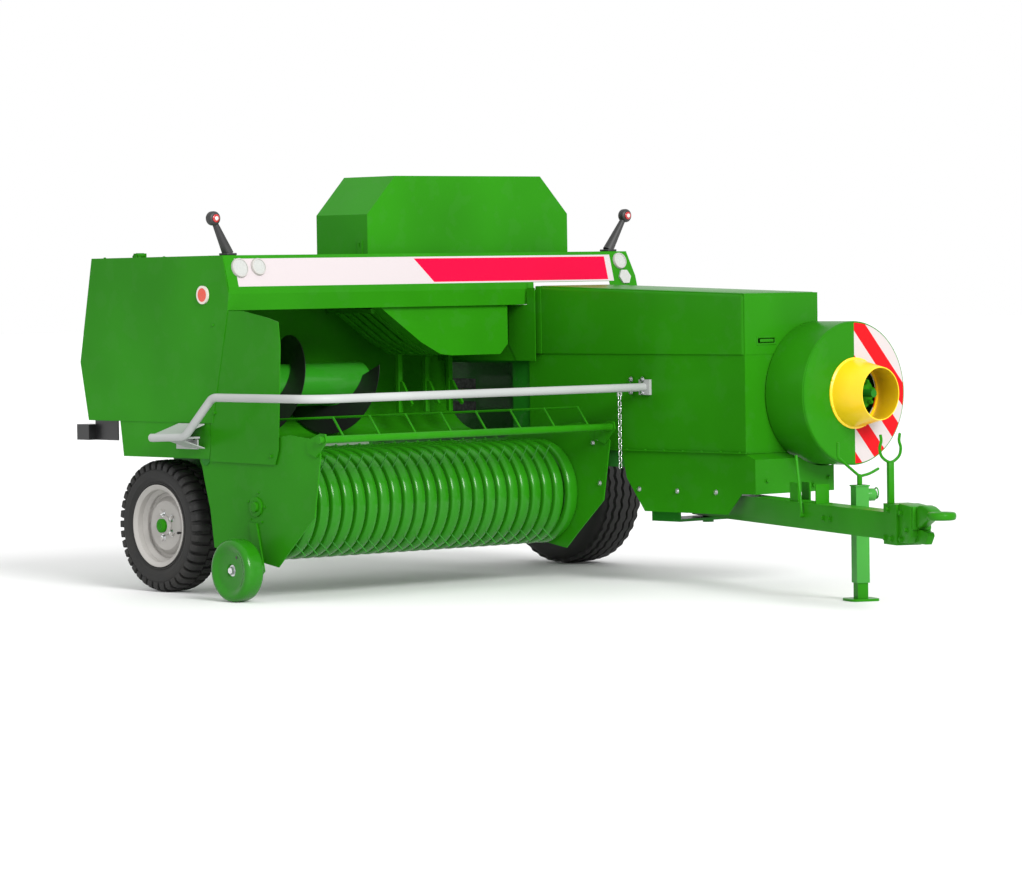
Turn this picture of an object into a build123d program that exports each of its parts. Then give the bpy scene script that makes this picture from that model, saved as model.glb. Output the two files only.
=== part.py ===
from build123d import *
import math
import os

os.makedirs("parts", exist_ok=True)

# Square baler, parked on its wheels, the pickup's gauge wheel and the drawbar's jack.
# Lengths are in millimetres. X points forwards, Y to the left and Z up. The machine is laid out
# from the right wheel: X = 0 on the axle, Y = 0 in that wheel's middle plane, Z = 0 on the ground.
# place() at the end moves every piece so that the origin is under the middle of the machine.

# Clearances and stock
RUN = 0.1  # radial, shaft in its bearing
SEAT = 0.3  # rubber or curved pieces beside what holds them
GAP = 6.0  # moving piece beside its neighbour
SHEET = 3.0  # panels
PLATE = 6.0  # load-bearing plates
BAR = 8.0  # brackets and lugs

# Hinges of the lids
HINGE_PIN_R = 6.0
EYE_LENGTH = 40.0
LUG_GAP = 2.0
LUG_WIDTH = 8.0

# Wheels and axle
TRACK = 2400.0
RIGHT_TYRE_R = 292.5
RIGHT_TYRE_W = 165.0
LEFT_TYRE_R = 380.0
LEFT_TYRE_W = 264.0
RIGHT_RIM_R = 182.5
LEFT_RIM_R = 218.0
RIGHT_RIM_W = 150.0
LEFT_RIM_W = 238.0
RIM_SHEET = 5.0
STUB_R = 24.0
HUB_R = 42.0
HUB_LENGTH = 110.0
HUB_CAP = 14.0
AXLE_SIDE = 80.0
AXLE_Z = 400.0
AXLE_WALL = 6.0
RIGHT_STUB_PLATE_Y = 100.0
LEFT_STUB_PLATE_Y = TRACK - 235.0
STUB_PLATE = 25.0
LUG_HEIGHT = 8.0
LUG_LENGTH = 30.0
LUG_COUNT = 26
RIB_DEPTH = 9.0

# Bale chamber, behind and inside the hood
CHAMBER_INSIDE_W = 460.0
CHAMBER_INSIDE_H = 360.0
CHAMBER_WALL = 6.0
CHAMBER_RIGHT_Y = 1640.0
CHAMBER_FLOOR_Z = 620.0
CHAMBER_REAR_X = -950.0
CHAMBER_FRONT_X = 1150.0
CHAMBER_LEFT_Y = CHAMBER_RIGHT_Y + CHAMBER_INSIDE_W + 2 * CHAMBER_WALL
CHAMBER_MID_Y = (CHAMBER_RIGHT_Y + CHAMBER_LEFT_Y) / 2
CHAMBER_BOTTOM_Z = CHAMBER_FLOOR_Z - CHAMBER_WALL
CHAMBER_TOP_Z = CHAMBER_FLOOR_Z + CHAMBER_INSIDE_H + CHAMBER_WALL
HOOP_WIDTH = 40.0
HOOP_DEPTH = 30.0
FEED_REAR_X = -30.0
FEED_FRONT_X = 440.0

# Knotters and needles
KNOTTER_X = -165.0
KNOTTER_RISE = 190.0
KNOTTER_GEAR_R = 120.0
DRIVE_SHAFT_R = 16.0

# Hood over the drive, and its skirt
HOOD_RIGHT_Y = 1632.0
HOOD_WIDTH = 450.0
HOOD_LEFT_Y = HOOD_RIGHT_Y + HOOD_WIDTH
HOOD_FRONT_X = 1973.0
HOOD_REAR_X = 625.0
HOOD_SIDE_REAR_X = 565.0
HOOD_SEAM_Z = 1015.0
HOOD_BOTTOM_Z = 589.0
HOOD_FRONT_TOP_Z = 1283.0
HOOD_REAR_TOP_Z = 1326.0
HOOD_CORNER_R = 25.0
HOOD_PIN_Y = HOOD_LEFT_Y + 14.0
HOOD_PIN_Z = HOOD_SEAM_Z + 12.0
HOOD_HINGE_XS = (760.0, 1300.0, 1840.0)
SKIRT_FRONT_X = 2030.0
SKIRT_BOTTOM_Z = 320.0
SKIRT_FRONT_BOTTOM_Z = 412.0

# Drive input
INPUT_Y = 2063.0
INPUT_Z = 842.0
GUARD_R = 314.0
GUARD_REAR_X = HOOD_FRONT_X + 7.0
GUARD_FRONT_X = 2213.0
CONE_BASE_R = 150.0
CONE_MOUTH_R = 116.0
CONE_FRONT_X = 2370.0
FLYWHEEL_R = 262.0
FLYWHEEL_WIDTH = 62.0
SHAFT_R = 21.0
SPLINE_R = 17.45
GEARBOX_FRONT_X = 1800.0
GEARBOX_LENGTH = 420.0
GEARBOX_SIDE = 210.0

# Body over the feed trough
SIDE_Y = -108.0
BODY_LEFT_Y = 1600.0
BODY_TOP_Z = 1478.0
BODY_BOTTOM_Z = 755.0
BODY_REAR_TOP_X = -411.0
BODY_REAR_MID_X = -509.0
BODY_REAR_MID_Z = 1015.0
BODY_REAR_LOW_X = -453.0
BEAM_TOP_X = 546.0
BEAM_FACE_X = 582.0
BEAM_FACE_Z = 1343.0
BEAM_NOSE_X = 584.0
BEAM_NOSE_Z = 1314.0
BEAM_LOW_X = 575.0
BEAM_LOW_Z = 1243.0
BEAM_TOP_Z = 1481.0
BEAM_BACK_X = 440.0
BEAM_LEFT_Y = 2120.0
BAND_LEFT_Y = 1649.0
WING_LEFT_Y = 2290.0

# Feed trough, auger and feeder
TROUGH_R = 240.0
TROUGH_SHEET = 4.0
TROUGH_LIP_X = 430.0
AUGER_X = 200.0
AUGER_Z = 900.0
AUGER_CORE_R = 95.0
AUGER_FLIGHT_R = 225.0
AUGER_END_Y = 920.0
AUGER_PITCH = 400.0
AUGER_STUB_R = 25.0
TROUGH_BACK_X = AUGER_X - TROUGH_R
TROUGH_FLOOR_Z = AUGER_Z - TROUGH_R
END_WALL_Y = -87.0

# Cover over the feeder's crank
TOP_RIGHT_Y = 780.0
TOP_LEFT_Y = 1980.0
TOP_REAR_X = 90.0
TOP_FRONT_X = 450.0
TOP_BASE_Z = BEAM_TOP_Z + SEAT
TOP_HEIGHT = 348.7
TOP_RIM = 20.0
TOP_CHAMFER_Y = 165.0
TOP_CHAMFER_Z = 172.0

TOP_PIN_X = TOP_REAR_X - 14.0
TOP_PIN_Z = TOP_BASE_Z + 10.0
TOP_HINGE_YS = (930.0, 1450.0)

# Rear door of the twine compartment
DOOR_PIN_X = BODY_REAR_TOP_X + 12.0
DOOR_PIN_Z = BODY_TOP_Z + 12.0
DOOR_HINGE_YS = (150.0, 1340.0)

# Pickup
PIVOT_X = 390.0
PIVOT_Z = 600.0
PIVOT_BOSS_R = 44.0
PIVOT_TUBE_R = 30.0
REEL_X = 740.0
REEL_Z = 400.0
BAND_R = 236.0
BAND_TAIL_ANGLE = 14.0  # degrees that the lower ends rise to the rear
BAND_SHEET = 3.0
BAND_WIDTH = 44.0
BAND_PITCH = 67.5
BAND_COUNT = 23
BAND_REAR_X = 450.0
TINE_R = 300.0
TINE_BAR_RADIUS = 130.0
TINE_BAR_R = 12.0
TINE_SIDE = 5.0
TINE_BARS = 4
REEL_TUBE_R = 30.0
PICKUP_RIGHT_Y = -99.0
PICKUP_LEFT_Y = 1556.0
DRUM_WIDTH = 62.0
GUARD_TUBE_X = 1206.0
GUARD_TUBE_Z = 696.0
GUARD_TUBE_R = 16.0
GUARD_ROD_R = 5.0
GUARD_ROD_FIRST_Y = 15.0
GUARD_ROD_PITCH = 200.0
GUARD_ROD_COUNT = 8
GUARD_ROD_RISE = 90.0
GUARD_ROD_SETBACK = 76.0
GUARD_ROD_REAR_X = 640.0
GUARD_ROD_DROP = 20.0

# Gauge wheel beside the pickup
GAUGE_X = 765.0
GAUGE_Y = -230.0
GAUGE_R = 135.0
GAUGE_W = 90.0
GAUGE_PIN_R = 12.0

# Barrier rail in front of the pickup
RAIL_R = 18.0
RAIL_RIGHT_Y = -250.0
RAIL_FRONT_X = 1345.0
RAIL_Z = 872.0
RAIL_LOW_Z = 700.0
RAIL_KNEE_X = 640.0
RAIL_FOOT_X = 440.0
RAIL_END_X = 200.0
RAIL_CORNER_R = 130.0

# Chain on the rail
CHAIN_Y = 1470.0
LINK_LENGTH = 40.0
LINK_WIDTH = 22.0
LINK_WIRE = 6.0
LINK_COUNT = 12

# Drawbar, swung to the right for transport
SWING = 22.9  # degrees from straight ahead
DRAWBAR_PIVOT_X = 1400.0
DRAWBAR_PIVOT_Y = 1950.0
DRAWBAR_BOTTOM_Z = 292.0
DRAWBAR_HEIGHT = 110.0
DRAWBAR_WIDTH = 100.0
DRAWBAR_WALL = 6.0
DRAWBAR_TAIL = 70.0
DRAWBAR_LENGTH = 2120.0
FLANGE_LENGTH = 130.0
EYE_REACH = 2572.0
EYE_Z = 405.0
EYE_R = 59.0
EYE_BORE_R = 25.0
EYE_THICK = 32.0
PIVOT_PIN_R = 25.0
JACK_REACH = 1511.0
JACK_OFFSET = 100.0
JACK_SIDE = 58.0
JACK_WALL = 5.0
JACK_TOP_Z = 475.0
JACK_BOTTOM_Z = 75.0
FOOT_THICK = 10.0
FOOT_LENGTH = 130.0
RAIL_TOP_Z = CHAMBER_BOTTOM_Z
RAIL_HEIGHT = 100.0
RAIL_WIDTH = 55.0
RAIL_WALL = 5.0
RAIL_REAR_X = -600.0

# Bale chute behind the chamber
CHUTE_LENGTH = 600.0
CHUTE_SLOPE = 12.0
CHUTE_LIP = 60.0
CHUTE_HINGE_X = CHAMBER_REAR_X - 18.0
CHUTE_HINGE_Z = CHAMBER_BOTTOM_Z - 14.0
CHUTE_PIN_R = 8.0


def block(x, y, z):
    """A box from (low, high) pairs along X, Y and Z."""
    size = (x[1] - x[0], y[1] - y[0], z[1] - z[0])
    return Pos((x[0] + x[1]) / 2, (y[0] + y[1]) / 2, (z[0] + z[1]) / 2) * Box(*size)


def rod(start, end, radius):
    """A round bar from one point to another."""
    run = Vector(*end) - Vector(*start)
    bar = Cylinder(radius, run.length, align=(Align.CENTER, Align.CENTER, Align.MIN))
    return Plane(origin=start, z_dir=run) * bar


def prism_y(points, y):
    """An outline of (x, z) points, extruded along Y from y[0] to y[1]."""
    outline = Polyline([(px, y[0], pz) for px, pz in points], close=True)
    return extrude(make_face(outline), amount=y[1] - y[0], dir=(0, 1, 0))


def prism_x(points, x):
    """An outline of (y, z) points, extruded along X from x[0] to x[1]."""
    outline = Polyline([(x[0], py, pz) for py, pz in points], close=True)
    return extrude(make_face(outline), amount=x[1] - x[0], dir=(1, 0, 0))


def prism_z(points, z):
    """An outline of (x, y) points, extruded along Z from z[0] to z[1]."""
    outline = Polyline([(px, py, z[0]) for px, py in points], close=True)
    return extrude(make_face(outline), amount=z[1] - z[0], dir=(0, 0, 1))


def tube_box(x, y, z, wall, along):
    """A rectangular tube, open at both ends along the named axis."""
    outer = block(x, y, z)
    pairs = {"x": x, "y": y, "z": z}
    inner = {}
    for name, (low, high) in pairs.items():
        inner[name] = (low - 1, high + 1) if name == along else (low + wall, high - wall)
    return outer - block(inner["x"], inner["y"], inner["z"])


def revolved_y(points, x, y, z):
    """A closed outline of (radius, offset) points, turned about the line along Y through (x, y, z)."""
    outline = Polyline([(radius, offset, 0) for radius, offset in points], close=True)
    return Pos(x, y, z) * revolve(make_face(outline), Axis.Y, 360)


def revolved_x(points, y, z):
    """A closed outline of (x, radius) points, turned about the line along X through y and z."""
    outline = Polyline([(px, radius, 0) for px, radius in points], close=True)
    return Pos(0, y, z) * revolve(make_face(outline), Axis.X, 360)


def fused(pieces):
    """All the pieces of a list joined into one."""
    whole = pieces[0]
    for piece in pieces[1:]:
        whole = whole + piece
    return whole


def gathered(pieces):
    """Separate solids that share a node."""
    return Compound([solid for piece in pieces for solid in piece.solids()])


def pin_with_lugs(axis, centre, foot_z):
    """A hinge pin between two lugs that stand on a sheet at foot_z. axis is "x" or "y"."""
    x, y, z = centre
    inner = EYE_LENGTH / 2 + LUG_GAP
    outer = inner + LUG_WIDTH
    reach = (outer - 1, 0, 0) if axis == "x" else (0, outer - 1, 0)
    pin = rod((x - reach[0], y - reach[1], z), (x + reach[0], y + reach[1], z), HINGE_PIN_R)
    pieces = [pin]
    for low, high in ((-outer, -inner), (inner, outer)):
        if axis == "x":
            pieces.append(block((x + low, x + high), (y - 9, y + 9), (foot_z, z + 9)))
        else:
            pieces.append(block((x - 9, x + 9), (y + low, y + high), (foot_z, z + 9)))
    return fused(pieces)


def hinge_eye(axis, centre, leaf):
    """The eye that turns on a hinge pin, with the leaf that joins it to its lid."""
    x, y, z = centre
    half = EYE_LENGTH / 2
    reach = (half, 0, 0) if axis == "x" else (0, half, 0)
    eye = rod((x - reach[0], y - reach[1], z), (x + reach[0], y + reach[1], z), HINGE_PIN_R + 5)
    bore = rod((x - 2 * reach[0], y - 2 * reach[1], z), (x + 2 * reach[0], y + 2 * reach[1], z), HINGE_PIN_R + RUN)
    return eye + leaf - bore


# Wheels


def rim(radius, width, tyre_y, wheel_z, out):
    """A pressed rim with its dished disc and its hub. out is -1 on the right side and 1 on the left."""
    half = width / 2
    seat = radius - 16
    well = radius - 32
    t = RIM_SHEET
    outline = [
        (radius, -half), (radius, -half + t), (seat, -half + t + 3), (seat, -half * 0.45),
        (well, -half * 0.25), (well, half * 0.25), (seat, half * 0.45), (seat, half - t - 3),
        (radius, half - t), (radius, half), (radius - t, half), (seat - t, half - 2 * t),
        (seat - t, half * 0.5), (well - t, half * 0.3), (well - t, -half * 0.3),
        (seat - t, -half * 0.5), (seat - t, -half + 2 * t), (radius - t, -half),
    ]
    barrel = revolved_y(outline, 0, 0, 0)
    face = out * 25.0
    disc = [
        (well - t / 2, out * 4), (well - t / 2, out * (4 + t)), (well * 0.86, face * 0.2 + out * t),
        (well * 0.72, face + out * t), (HUB_R - 2, face + out * t), (HUB_R - 2, face),
        (well * 0.72 - 4, face), (well * 0.86 - 4, face * 0.2),
    ]
    hub_in = face + out * (HUB_CAP + 2 * t) - out * HUB_LENGTH
    hub_out = face + out * (HUB_CAP + 2 * t)
    bore_end = hub_out - out * HUB_CAP
    bore_r = STUB_R + RUN
    hub = [
        (0, hub_out), (HUB_R * 0.6, hub_out), (HUB_R * 0.8, hub_out - out * 6),
        (HUB_R, bore_end), (HUB_R, hub_in), (bore_r, hub_in), (bore_r, bore_end), (0, bore_end),
    ]
    whole = barrel + revolved_y(disc, 0, 0, 0) + revolved_y(hub, 0, 0, 0)
    for index in range(5):
        turn = math.radians(72 * index + 36)
        reach = HUB_R + 20
        start = (reach * math.cos(turn), face + out * (t - 1), reach * math.sin(turn))
        end = (start[0], face + out * (t + 12), start[2])
        whole = whole + rod(start, end, 9)
    return Pos(0, tyre_y, wheel_z) * whole


def tyre_body(radius, width, rim_radius, rim_width, tread_half, crown):
    """The casing of a tyre: side walls as arcs, a crowned tread, and its hollow open to the rim."""
    half = width / 2
    bead = rim_radius - 16 + SEAT
    bead_half = rim_width / 2 - RIM_SHEET - SEAT - 3
    shoulder_r = radius - crown
    middle_r = (bead + shoulder_r) / 2
    wall = 12.0
    edges = [
        Line((bead, bead_half), (rim_radius + 4, bead_half - 1)),
        ThreePointArc((rim_radius + 4, bead_half - 1), (middle_r + 8, half), (shoulder_r, tread_half)),
        ThreePointArc((shoulder_r, tread_half), (radius, 0), (shoulder_r, -tread_half)),
        ThreePointArc((shoulder_r, -tread_half), (middle_r + 8, -half), (rim_radius + 4, -bead_half + 1)),
        Line((rim_radius + 4, -bead_half + 1), (bead, -bead_half)),
        Line((bead, -bead_half), (bead, -bead_half + wall)),
        ThreePointArc((bead, -bead_half + wall), (middle_r + 4, -half + wall), (shoulder_r - wall, -tread_half + wall)),
        Line((shoulder_r - wall, -tread_half + wall), (shoulder_r - wall, tread_half - wall)),
        ThreePointArc((shoulder_r - wall, tread_half - wall), (middle_r + 4, half - wall), (bead, bead_half - wall)),
        Line((bead, bead_half - wall), (bead, bead_half)),
    ]
    return revolve(make_face(edges), Axis.Y, 360)


def right_tyre():
    """Casing with two staggered rings of tread blocks that wrap over the shoulders."""
    base = RIGHT_TYRE_R - LUG_HEIGHT
    tread_half = RIGHT_TYRE_W * 0.42
    casing = tyre_body(base, RIGHT_TYRE_W, RIGHT_RIM_R, RIGHT_RIM_W, tread_half, 14)
    blocks = []
    for index in range(LUG_COUNT * 2):
        side = 1 if index % 2 else -1
        outline = [
            (4 * side, base - 10), (4 * side, RIGHT_TYRE_R - 0.5), (tread_half * 0.8 * side, base + LUG_HEIGHT * 0.5),
            ((tread_half + 6) * side, base - 10), ((tread_half + 8) * side, base - 34),
            ((tread_half - 4) * side, base - 34), ((tread_half - 14) * side, base - 24),
        ]
        lug = prism_x(outline, (-LUG_LENGTH / 2, LUG_LENGTH / 2))
        blocks.append(Rot(0, 180.0 * index / LUG_COUNT, 0) * lug)
    return Pos(0, 0, RIGHT_TYRE_R) * fused([casing] + blocks)


def left_tyre():
    """Wider casing with circumferential ribs."""
    tread_half = LEFT_TYRE_W * 0.41
    casing = tyre_body(LEFT_TYRE_R, LEFT_TYRE_W, LEFT_RIM_R, LEFT_RIM_W, tread_half, 20)
    for offset in (-0.62, -0.22, 0.22, 0.62):
        middle = tread_half * offset
        floor = LEFT_TYRE_R - RIB_DEPTH - 8
        groove = [
            (floor, middle - 5), (floor, middle + 5),
            (LEFT_TYRE_R + 10, middle + 9), (LEFT_TYRE_R + 10, middle - 9),
        ]
        casing = casing - revolved_y(groove, 0, 0, 0)
    return Pos(0, TRACK, LEFT_TYRE_R) * casing


def axle():
    """Square axle beam with a plate and a stub at each end. The right stub sits lower."""
    half = AXLE_SIDE / 2
    beam = tube_box((-half, half), (RIGHT_STUB_PLATE_Y + STUB_PLATE, LEFT_STUB_PLATE_Y),
                    (AXLE_Z - half, AXLE_Z + half), AXLE_WALL, "y")
    right_plate = block((-half, half), (RIGHT_STUB_PLATE_Y, RIGHT_STUB_PLATE_Y + STUB_PLATE),
                        (RIGHT_TYRE_R - half, AXLE_Z + half))
    left_plate = block((-half, half), (LEFT_STUB_PLATE_Y, LEFT_STUB_PLATE_Y + STUB_PLATE),
                       (LEFT_TYRE_R - half, AXLE_Z + half))
    cap_from_mid = 25.0 + 2 * RIM_SHEET - SEAT
    right_stub = rod((0, RIGHT_STUB_PLATE_Y + 1, RIGHT_TYRE_R), (0, -cap_from_mid, RIGHT_TYRE_R), STUB_R)
    left_stub = rod((0, LEFT_STUB_PLATE_Y + STUB_PLATE - 1, LEFT_TYRE_R),
                    (0, TRACK + cap_from_mid, LEFT_TYRE_R), STUB_R)
    return fused([beam, right_plate, left_plate, right_stub, left_stub])


# Chassis


def chassis():
    """Two long rails under the chamber, the right side frame and the pickup's pivot tube."""
    rail_z = (RAIL_TOP_Z - RAIL_HEIGHT, RAIL_TOP_Z)
    right_y = (HOOD_RIGHT_Y + SHEET, HOOD_RIGHT_Y + SHEET + RAIL_WIDTH)
    left_y = (CHAMBER_LEFT_Y - RAIL_WIDTH, CHAMBER_LEFT_Y)
    rail_x = (RAIL_REAR_X, HOOD_FRONT_X - SHEET)
    pieces = [tube_box(rail_x, y, rail_z, RAIL_WALL, "x") for y in (right_y, left_y)]
    axle_top = AXLE_Z + AXLE_SIDE / 2
    for y in (right_y, left_y):
        pieces.append(block((-70, 70), y, (axle_top, rail_z[0])))
    for x in (RAIL_REAR_X + 60, 640, 1040, HOOD_FRONT_X - 120):
        pieces.append(block((x, x + 50), (right_y[1], left_y[0]), (rail_z[1] - 60, rail_z[1] - 10)))
    side_y = (RIGHT_STUB_PLATE_Y + STUB_PLATE, RIGHT_STUB_PLATE_Y + STUB_PLATE + BAR)
    side = prism_y([(-AXLE_SIDE, axle_top), (AXLE_SIDE, axle_top), (AXLE_SIDE + 90, 540),
                    (PIVOT_X, PIVOT_Z - 60), (PIVOT_X + 30, PIVOT_Z),
                    (TROUGH_LIP_X - 20, TROUGH_FLOOR_Z - TROUGH_SHEET),
                    (AUGER_X - 120, TROUGH_FLOOR_Z - TROUGH_SHEET),
                    (-90, 700), (BODY_REAR_LOW_X + 60, BODY_BOTTOM_Z), (BODY_REAR_LOW_X + 60, BODY_BOTTOM_Z - 30),
                    (-150, 600)], side_y)
    pieces.append(side)
    tube_start = PICKUP_RIGHT_Y - SHEET
    pieces.append(rod((PIVOT_X, tube_start, PIVOT_Z), (PIVOT_X, right_y[0] + 2, PIVOT_Z), PIVOT_TUBE_R))
    pieces.append(drawbar_bracket())
    return fused(pieces)


def drawbar_bracket():
    """Two plates under the rails that hold the drawbar's pivot pin."""
    x = (DRAWBAR_PIVOT_X - 90, DRAWBAR_PIVOT_X + 90)
    y = (HOOD_RIGHT_Y + SHEET + RAIL_WIDTH, CHAMBER_LEFT_Y - RAIL_WIDTH)
    top_z = DRAWBAR_BOTTOM_Z + DRAWBAR_HEIGHT + GAP
    low_z = DRAWBAR_BOTTOM_Z - GAP
    plates = [block(x, y, (top_z, top_z + 12)), block(x, y, (low_z - 12, low_z))]
    sides = [block(x, (y[0], y[0] + BAR), (low_z - 12, RAIL_TOP_Z - 20)),
             block(x, (y[1] - BAR, y[1]), (low_z - 12, RAIL_TOP_Z - 20))]
    pin = rod((DRAWBAR_PIVOT_X, DRAWBAR_PIVOT_Y, low_z - 26), (DRAWBAR_PIVOT_X, DRAWBAR_PIVOT_Y, top_z + 26),
              PIVOT_PIN_R)
    return fused(plates + sides + [pin])


def bale_chamber():
    """Four walls with the feed opening, the knotter slots, open guide slots behind, and outer hoops."""
    x = (CHAMBER_REAR_X, CHAMBER_FRONT_X)
    y = (CHAMBER_RIGHT_Y, CHAMBER_LEFT_Y)
    z = (CHAMBER_BOTTOM_Z, CHAMBER_TOP_Z)
    walls = tube_box(x, y, z, CHAMBER_WALL, "x")
    walls -= block((FEED_REAR_X, FEED_FRONT_X), (y[0] - 1, y[0] + CHAMBER_WALL + 1),
                   (TROUGH_FLOOR_Z + 4, z[1] - CHAMBER_WALL - 4))
    slot_x = (CHAMBER_REAR_X + 60, -360)
    for side_y in (y[0], y[1] - CHAMBER_WALL):
        walls -= block(slot_x, (side_y - 1, side_y + CHAMBER_WALL + 1), (z[0] + 110, z[0] + 160))
        walls -= block(slot_x, (side_y - 1, side_y + CHAMBER_WALL + 1), (z[0] + 220, z[0] + 270))
    for offset in (-130, 0, 130):
        mid = CHAMBER_MID_Y + offset
        walls -= block(slot_x, (mid - 25, mid + 25), (z[0] - 1, z[0] + CHAMBER_WALL + 1))
        walls -= block(slot_x, (mid - 25, mid + 25), (z[1] - CHAMBER_WALL - 1, z[1] + 1))
    for offset in (-85, 85):
        mid = CHAMBER_MID_Y + offset
        walls -= block((-260, -70), (mid - 16, mid + 16), (z[0] - 1, z[1] + 1))
    pieces = [walls]
    for start in (CHAMBER_REAR_X, -640, -340):
        hoop_x = (start, start + HOOP_WIDTH)
        outer = block(hoop_x, (y[0] - HOOP_DEPTH, y[1] + HOOP_DEPTH), (z[0], z[1] + HOOP_DEPTH))
        pieces.append(outer - block((start - 1, start + HOOP_WIDTH + 1), y, (z[0] - 1, z[1])))
    pieces.append(chute_hinge())
    return fused(pieces)


def chamber_tension():
    """The density rails' yoke above the chamber, with two screws, springs and crank handles."""
    x = CHAMBER_REAR_X + 190
    top = CHAMBER_TOP_Z + HOOP_DEPTH
    pieces = [block((x - 25, x + 25), (CHAMBER_RIGHT_Y - 30, CHAMBER_LEFT_Y + 30), (top + 60, top + 100))]
    for offset in (-130, 0, 130):
        mid = CHAMBER_MID_Y + offset
        pieces.append(block((CHAMBER_REAR_X, -310), (mid - 20, mid + 20), (top, top + 30)))
        pieces.append(block((x - 20, x + 20), (mid - 18, mid + 18), (top + 28, top + 62)))
    for side in (-1, 1):
        y = CHAMBER_MID_Y + side * (CHAMBER_INSIDE_W / 2 - 30)
        pieces.append(rod((x, y, top + 98), (x, y, top + 270), 10))
        for coil in range(5):
            low = top + 108 + coil * 22
            pieces.append(rod((x, y, low), (x, y, low + 11), 26))
        pieces.append(rod((x, y, top + 262), (x + 110, y, top + 262), 8))
        pieces.append(rod((x + 102, y, top + 262), (x + 102, y, top + 330), 9))
    return fused(pieces)


def knotters():
    """The knotter frame across the chamber, with two knotter heads, discs and the drive gear."""
    top = CHAMBER_TOP_Z
    x = KNOTTER_X
    shaft_z = top + KNOTTER_RISE
    right_y = CHAMBER_RIGHT_Y + 10
    left_y = CHAMBER_LEFT_Y - 10
    pieces = []
    for y in (right_y, left_y - 12):
        pieces.append(prism_y([(x - 110, top), (x + 110, top), (x + 40, shaft_z + 40), (x - 40, shaft_z + 40)],
                              (y, y + 12)))
    pieces.append(rod((x, right_y - 20, shaft_z), (x, left_y + 70, shaft_z), 17))
    for offset in (-85, 85):
        y = CHAMBER_MID_Y + offset
        pieces.append(rod((x, y - 14, shaft_z), (x, y + 14, shaft_z), 95))
        pieces.append(block((x - 70, x + 30), (y - 40, y - 20), (top + 12, shaft_z + 10)))
        pieces.append(rod((x - 60, y - 30, top + 40), (x + 20, y + 45, top + 70), 14))
    pieces.append(rod((x, left_y + 28, shaft_z), (x, left_y + 52, shaft_z), KNOTTER_GEAR_R))
    return gathered([fused(pieces), knotter_drive()])


def knotter_drive():
    """The long drive shaft from the gearbox back along the chamber, its bevel box and the pinion above."""
    y = CHAMBER_LEFT_Y + DRIVE_SHAFT_R + 2
    z = INPUT_Z + GEARBOX_SIDE / 2 - 2 * DRIVE_SHAFT_R
    shaft = rod((KNOTTER_X, y, z), (GEARBOX_FRONT_X - GEARBOX_LENGTH, y, z), DRIVE_SHAFT_R)
    bevel = block((KNOTTER_X - 50, KNOTTER_X + 50), (CHAMBER_LEFT_Y, CHAMBER_LEFT_Y + 90), (z - 50, z + 50))
    gear_low = CHAMBER_TOP_Z + KNOTTER_RISE - KNOTTER_GEAR_R
    pinion_r = (gear_low - 1 - z - 50) / 2 + 2
    pinion = rod((KNOTTER_X, CHAMBER_LEFT_Y + 18, gear_low - 1 - pinion_r),
                 (KNOTTER_X, CHAMBER_LEFT_Y + 42, gear_low - 1 - pinion_r), pinion_r)
    return fused([shaft, bevel, pinion])


def needle_yoke():
    """The arms that swing the two curved needles up through the chamber floor."""
    pivot_x = -520
    pivot_z = RAIL_TOP_Z - 45
    carrier_x = -215
    carrier_z = 300
    right_y = HOOD_RIGHT_Y - 12
    left_y = CHAMBER_LEFT_Y + 4
    pieces = []
    for y in (right_y, left_y):
        arm = prism_y([(pivot_x - 25, pivot_z + 25), (pivot_x + 25, pivot_z + 25),
                       (carrier_x + 25, carrier_z + 20), (carrier_x + 20, carrier_z - 20),
                       (carrier_x - 30, carrier_z - 20), (pivot_x - 25, pivot_z - 20)], (y, y + BAR))
        pieces.append(arm)
    pieces.append(rod((pivot_x, right_y + 1, pivot_z), (pivot_x, HOOD_RIGHT_Y + SHEET - SEAT, pivot_z), 16))
    pieces.append(rod((pivot_x, CHAMBER_LEFT_Y + SEAT, pivot_z), (pivot_x, left_y + BAR - 1, pivot_z), 16))
    pieces.append(block((carrier_x - 20, carrier_x + 20), (right_y + 1, left_y + BAR - 1),
                        (carrier_z - 18, carrier_z + 18)))
    for offset in (-85, 85):
        y = CHAMBER_MID_Y + offset
        needle = prism_y([(carrier_x - 18, carrier_z), (carrier_x + 16, carrier_z), (carrier_x + 57, 420),
                          (carrier_x + 79, 530), (-114, RAIL_TOP_Z - 14), (-122, RAIL_TOP_Z - 14),
                          (carrier_x + 63, 535), (carrier_x + 37, 430)], (y - 6, y + 6))
        pieces.append(needle)
    return fused(pieces)


# Body over the trough


def side_outline():
    """The right side panel's outline."""
    return [(BODY_REAR_TOP_X, BODY_TOP_Z), (BODY_REAR_MID_X, BODY_REAR_MID_Z),
            (BODY_REAR_LOW_X, BODY_BOTTOM_Z), (455, BODY_BOTTOM_Z), (BEAM_LOW_X, BEAM_LOW_Z),
            (BEAM_NOSE_X, BEAM_NOSE_Z), (BEAM_TOP_X, BEAM_TOP_Z)]


def side_panel():
    """The right side panel and, behind its lower edge, the panel over the right wheel."""
    lower = [(-223, BODY_BOTTOM_Z + 20), (-197, 599), (424, 599), (434, 650), (434, BODY_BOTTOM_Z + 20)]
    return prism_y(side_outline(), (SIDE_Y - SHEET, SIDE_Y)) + prism_y(lower, (SIDE_Y, SIDE_Y + SHEET))


def side_shield():
    """The flat shield that reaches forward beside the pickup."""
    outline = [(428, 589), (438, 650), (438, 780), (553, BEAM_LOW_Z - 2), (673, BEAM_LOW_Z - 2),
               (853, 1210), (921, 1193), (932, 1095), (910, 648), (884, 583)]
    return prism_y(outline, (SIDE_Y, SIDE_Y + SHEET))


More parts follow.
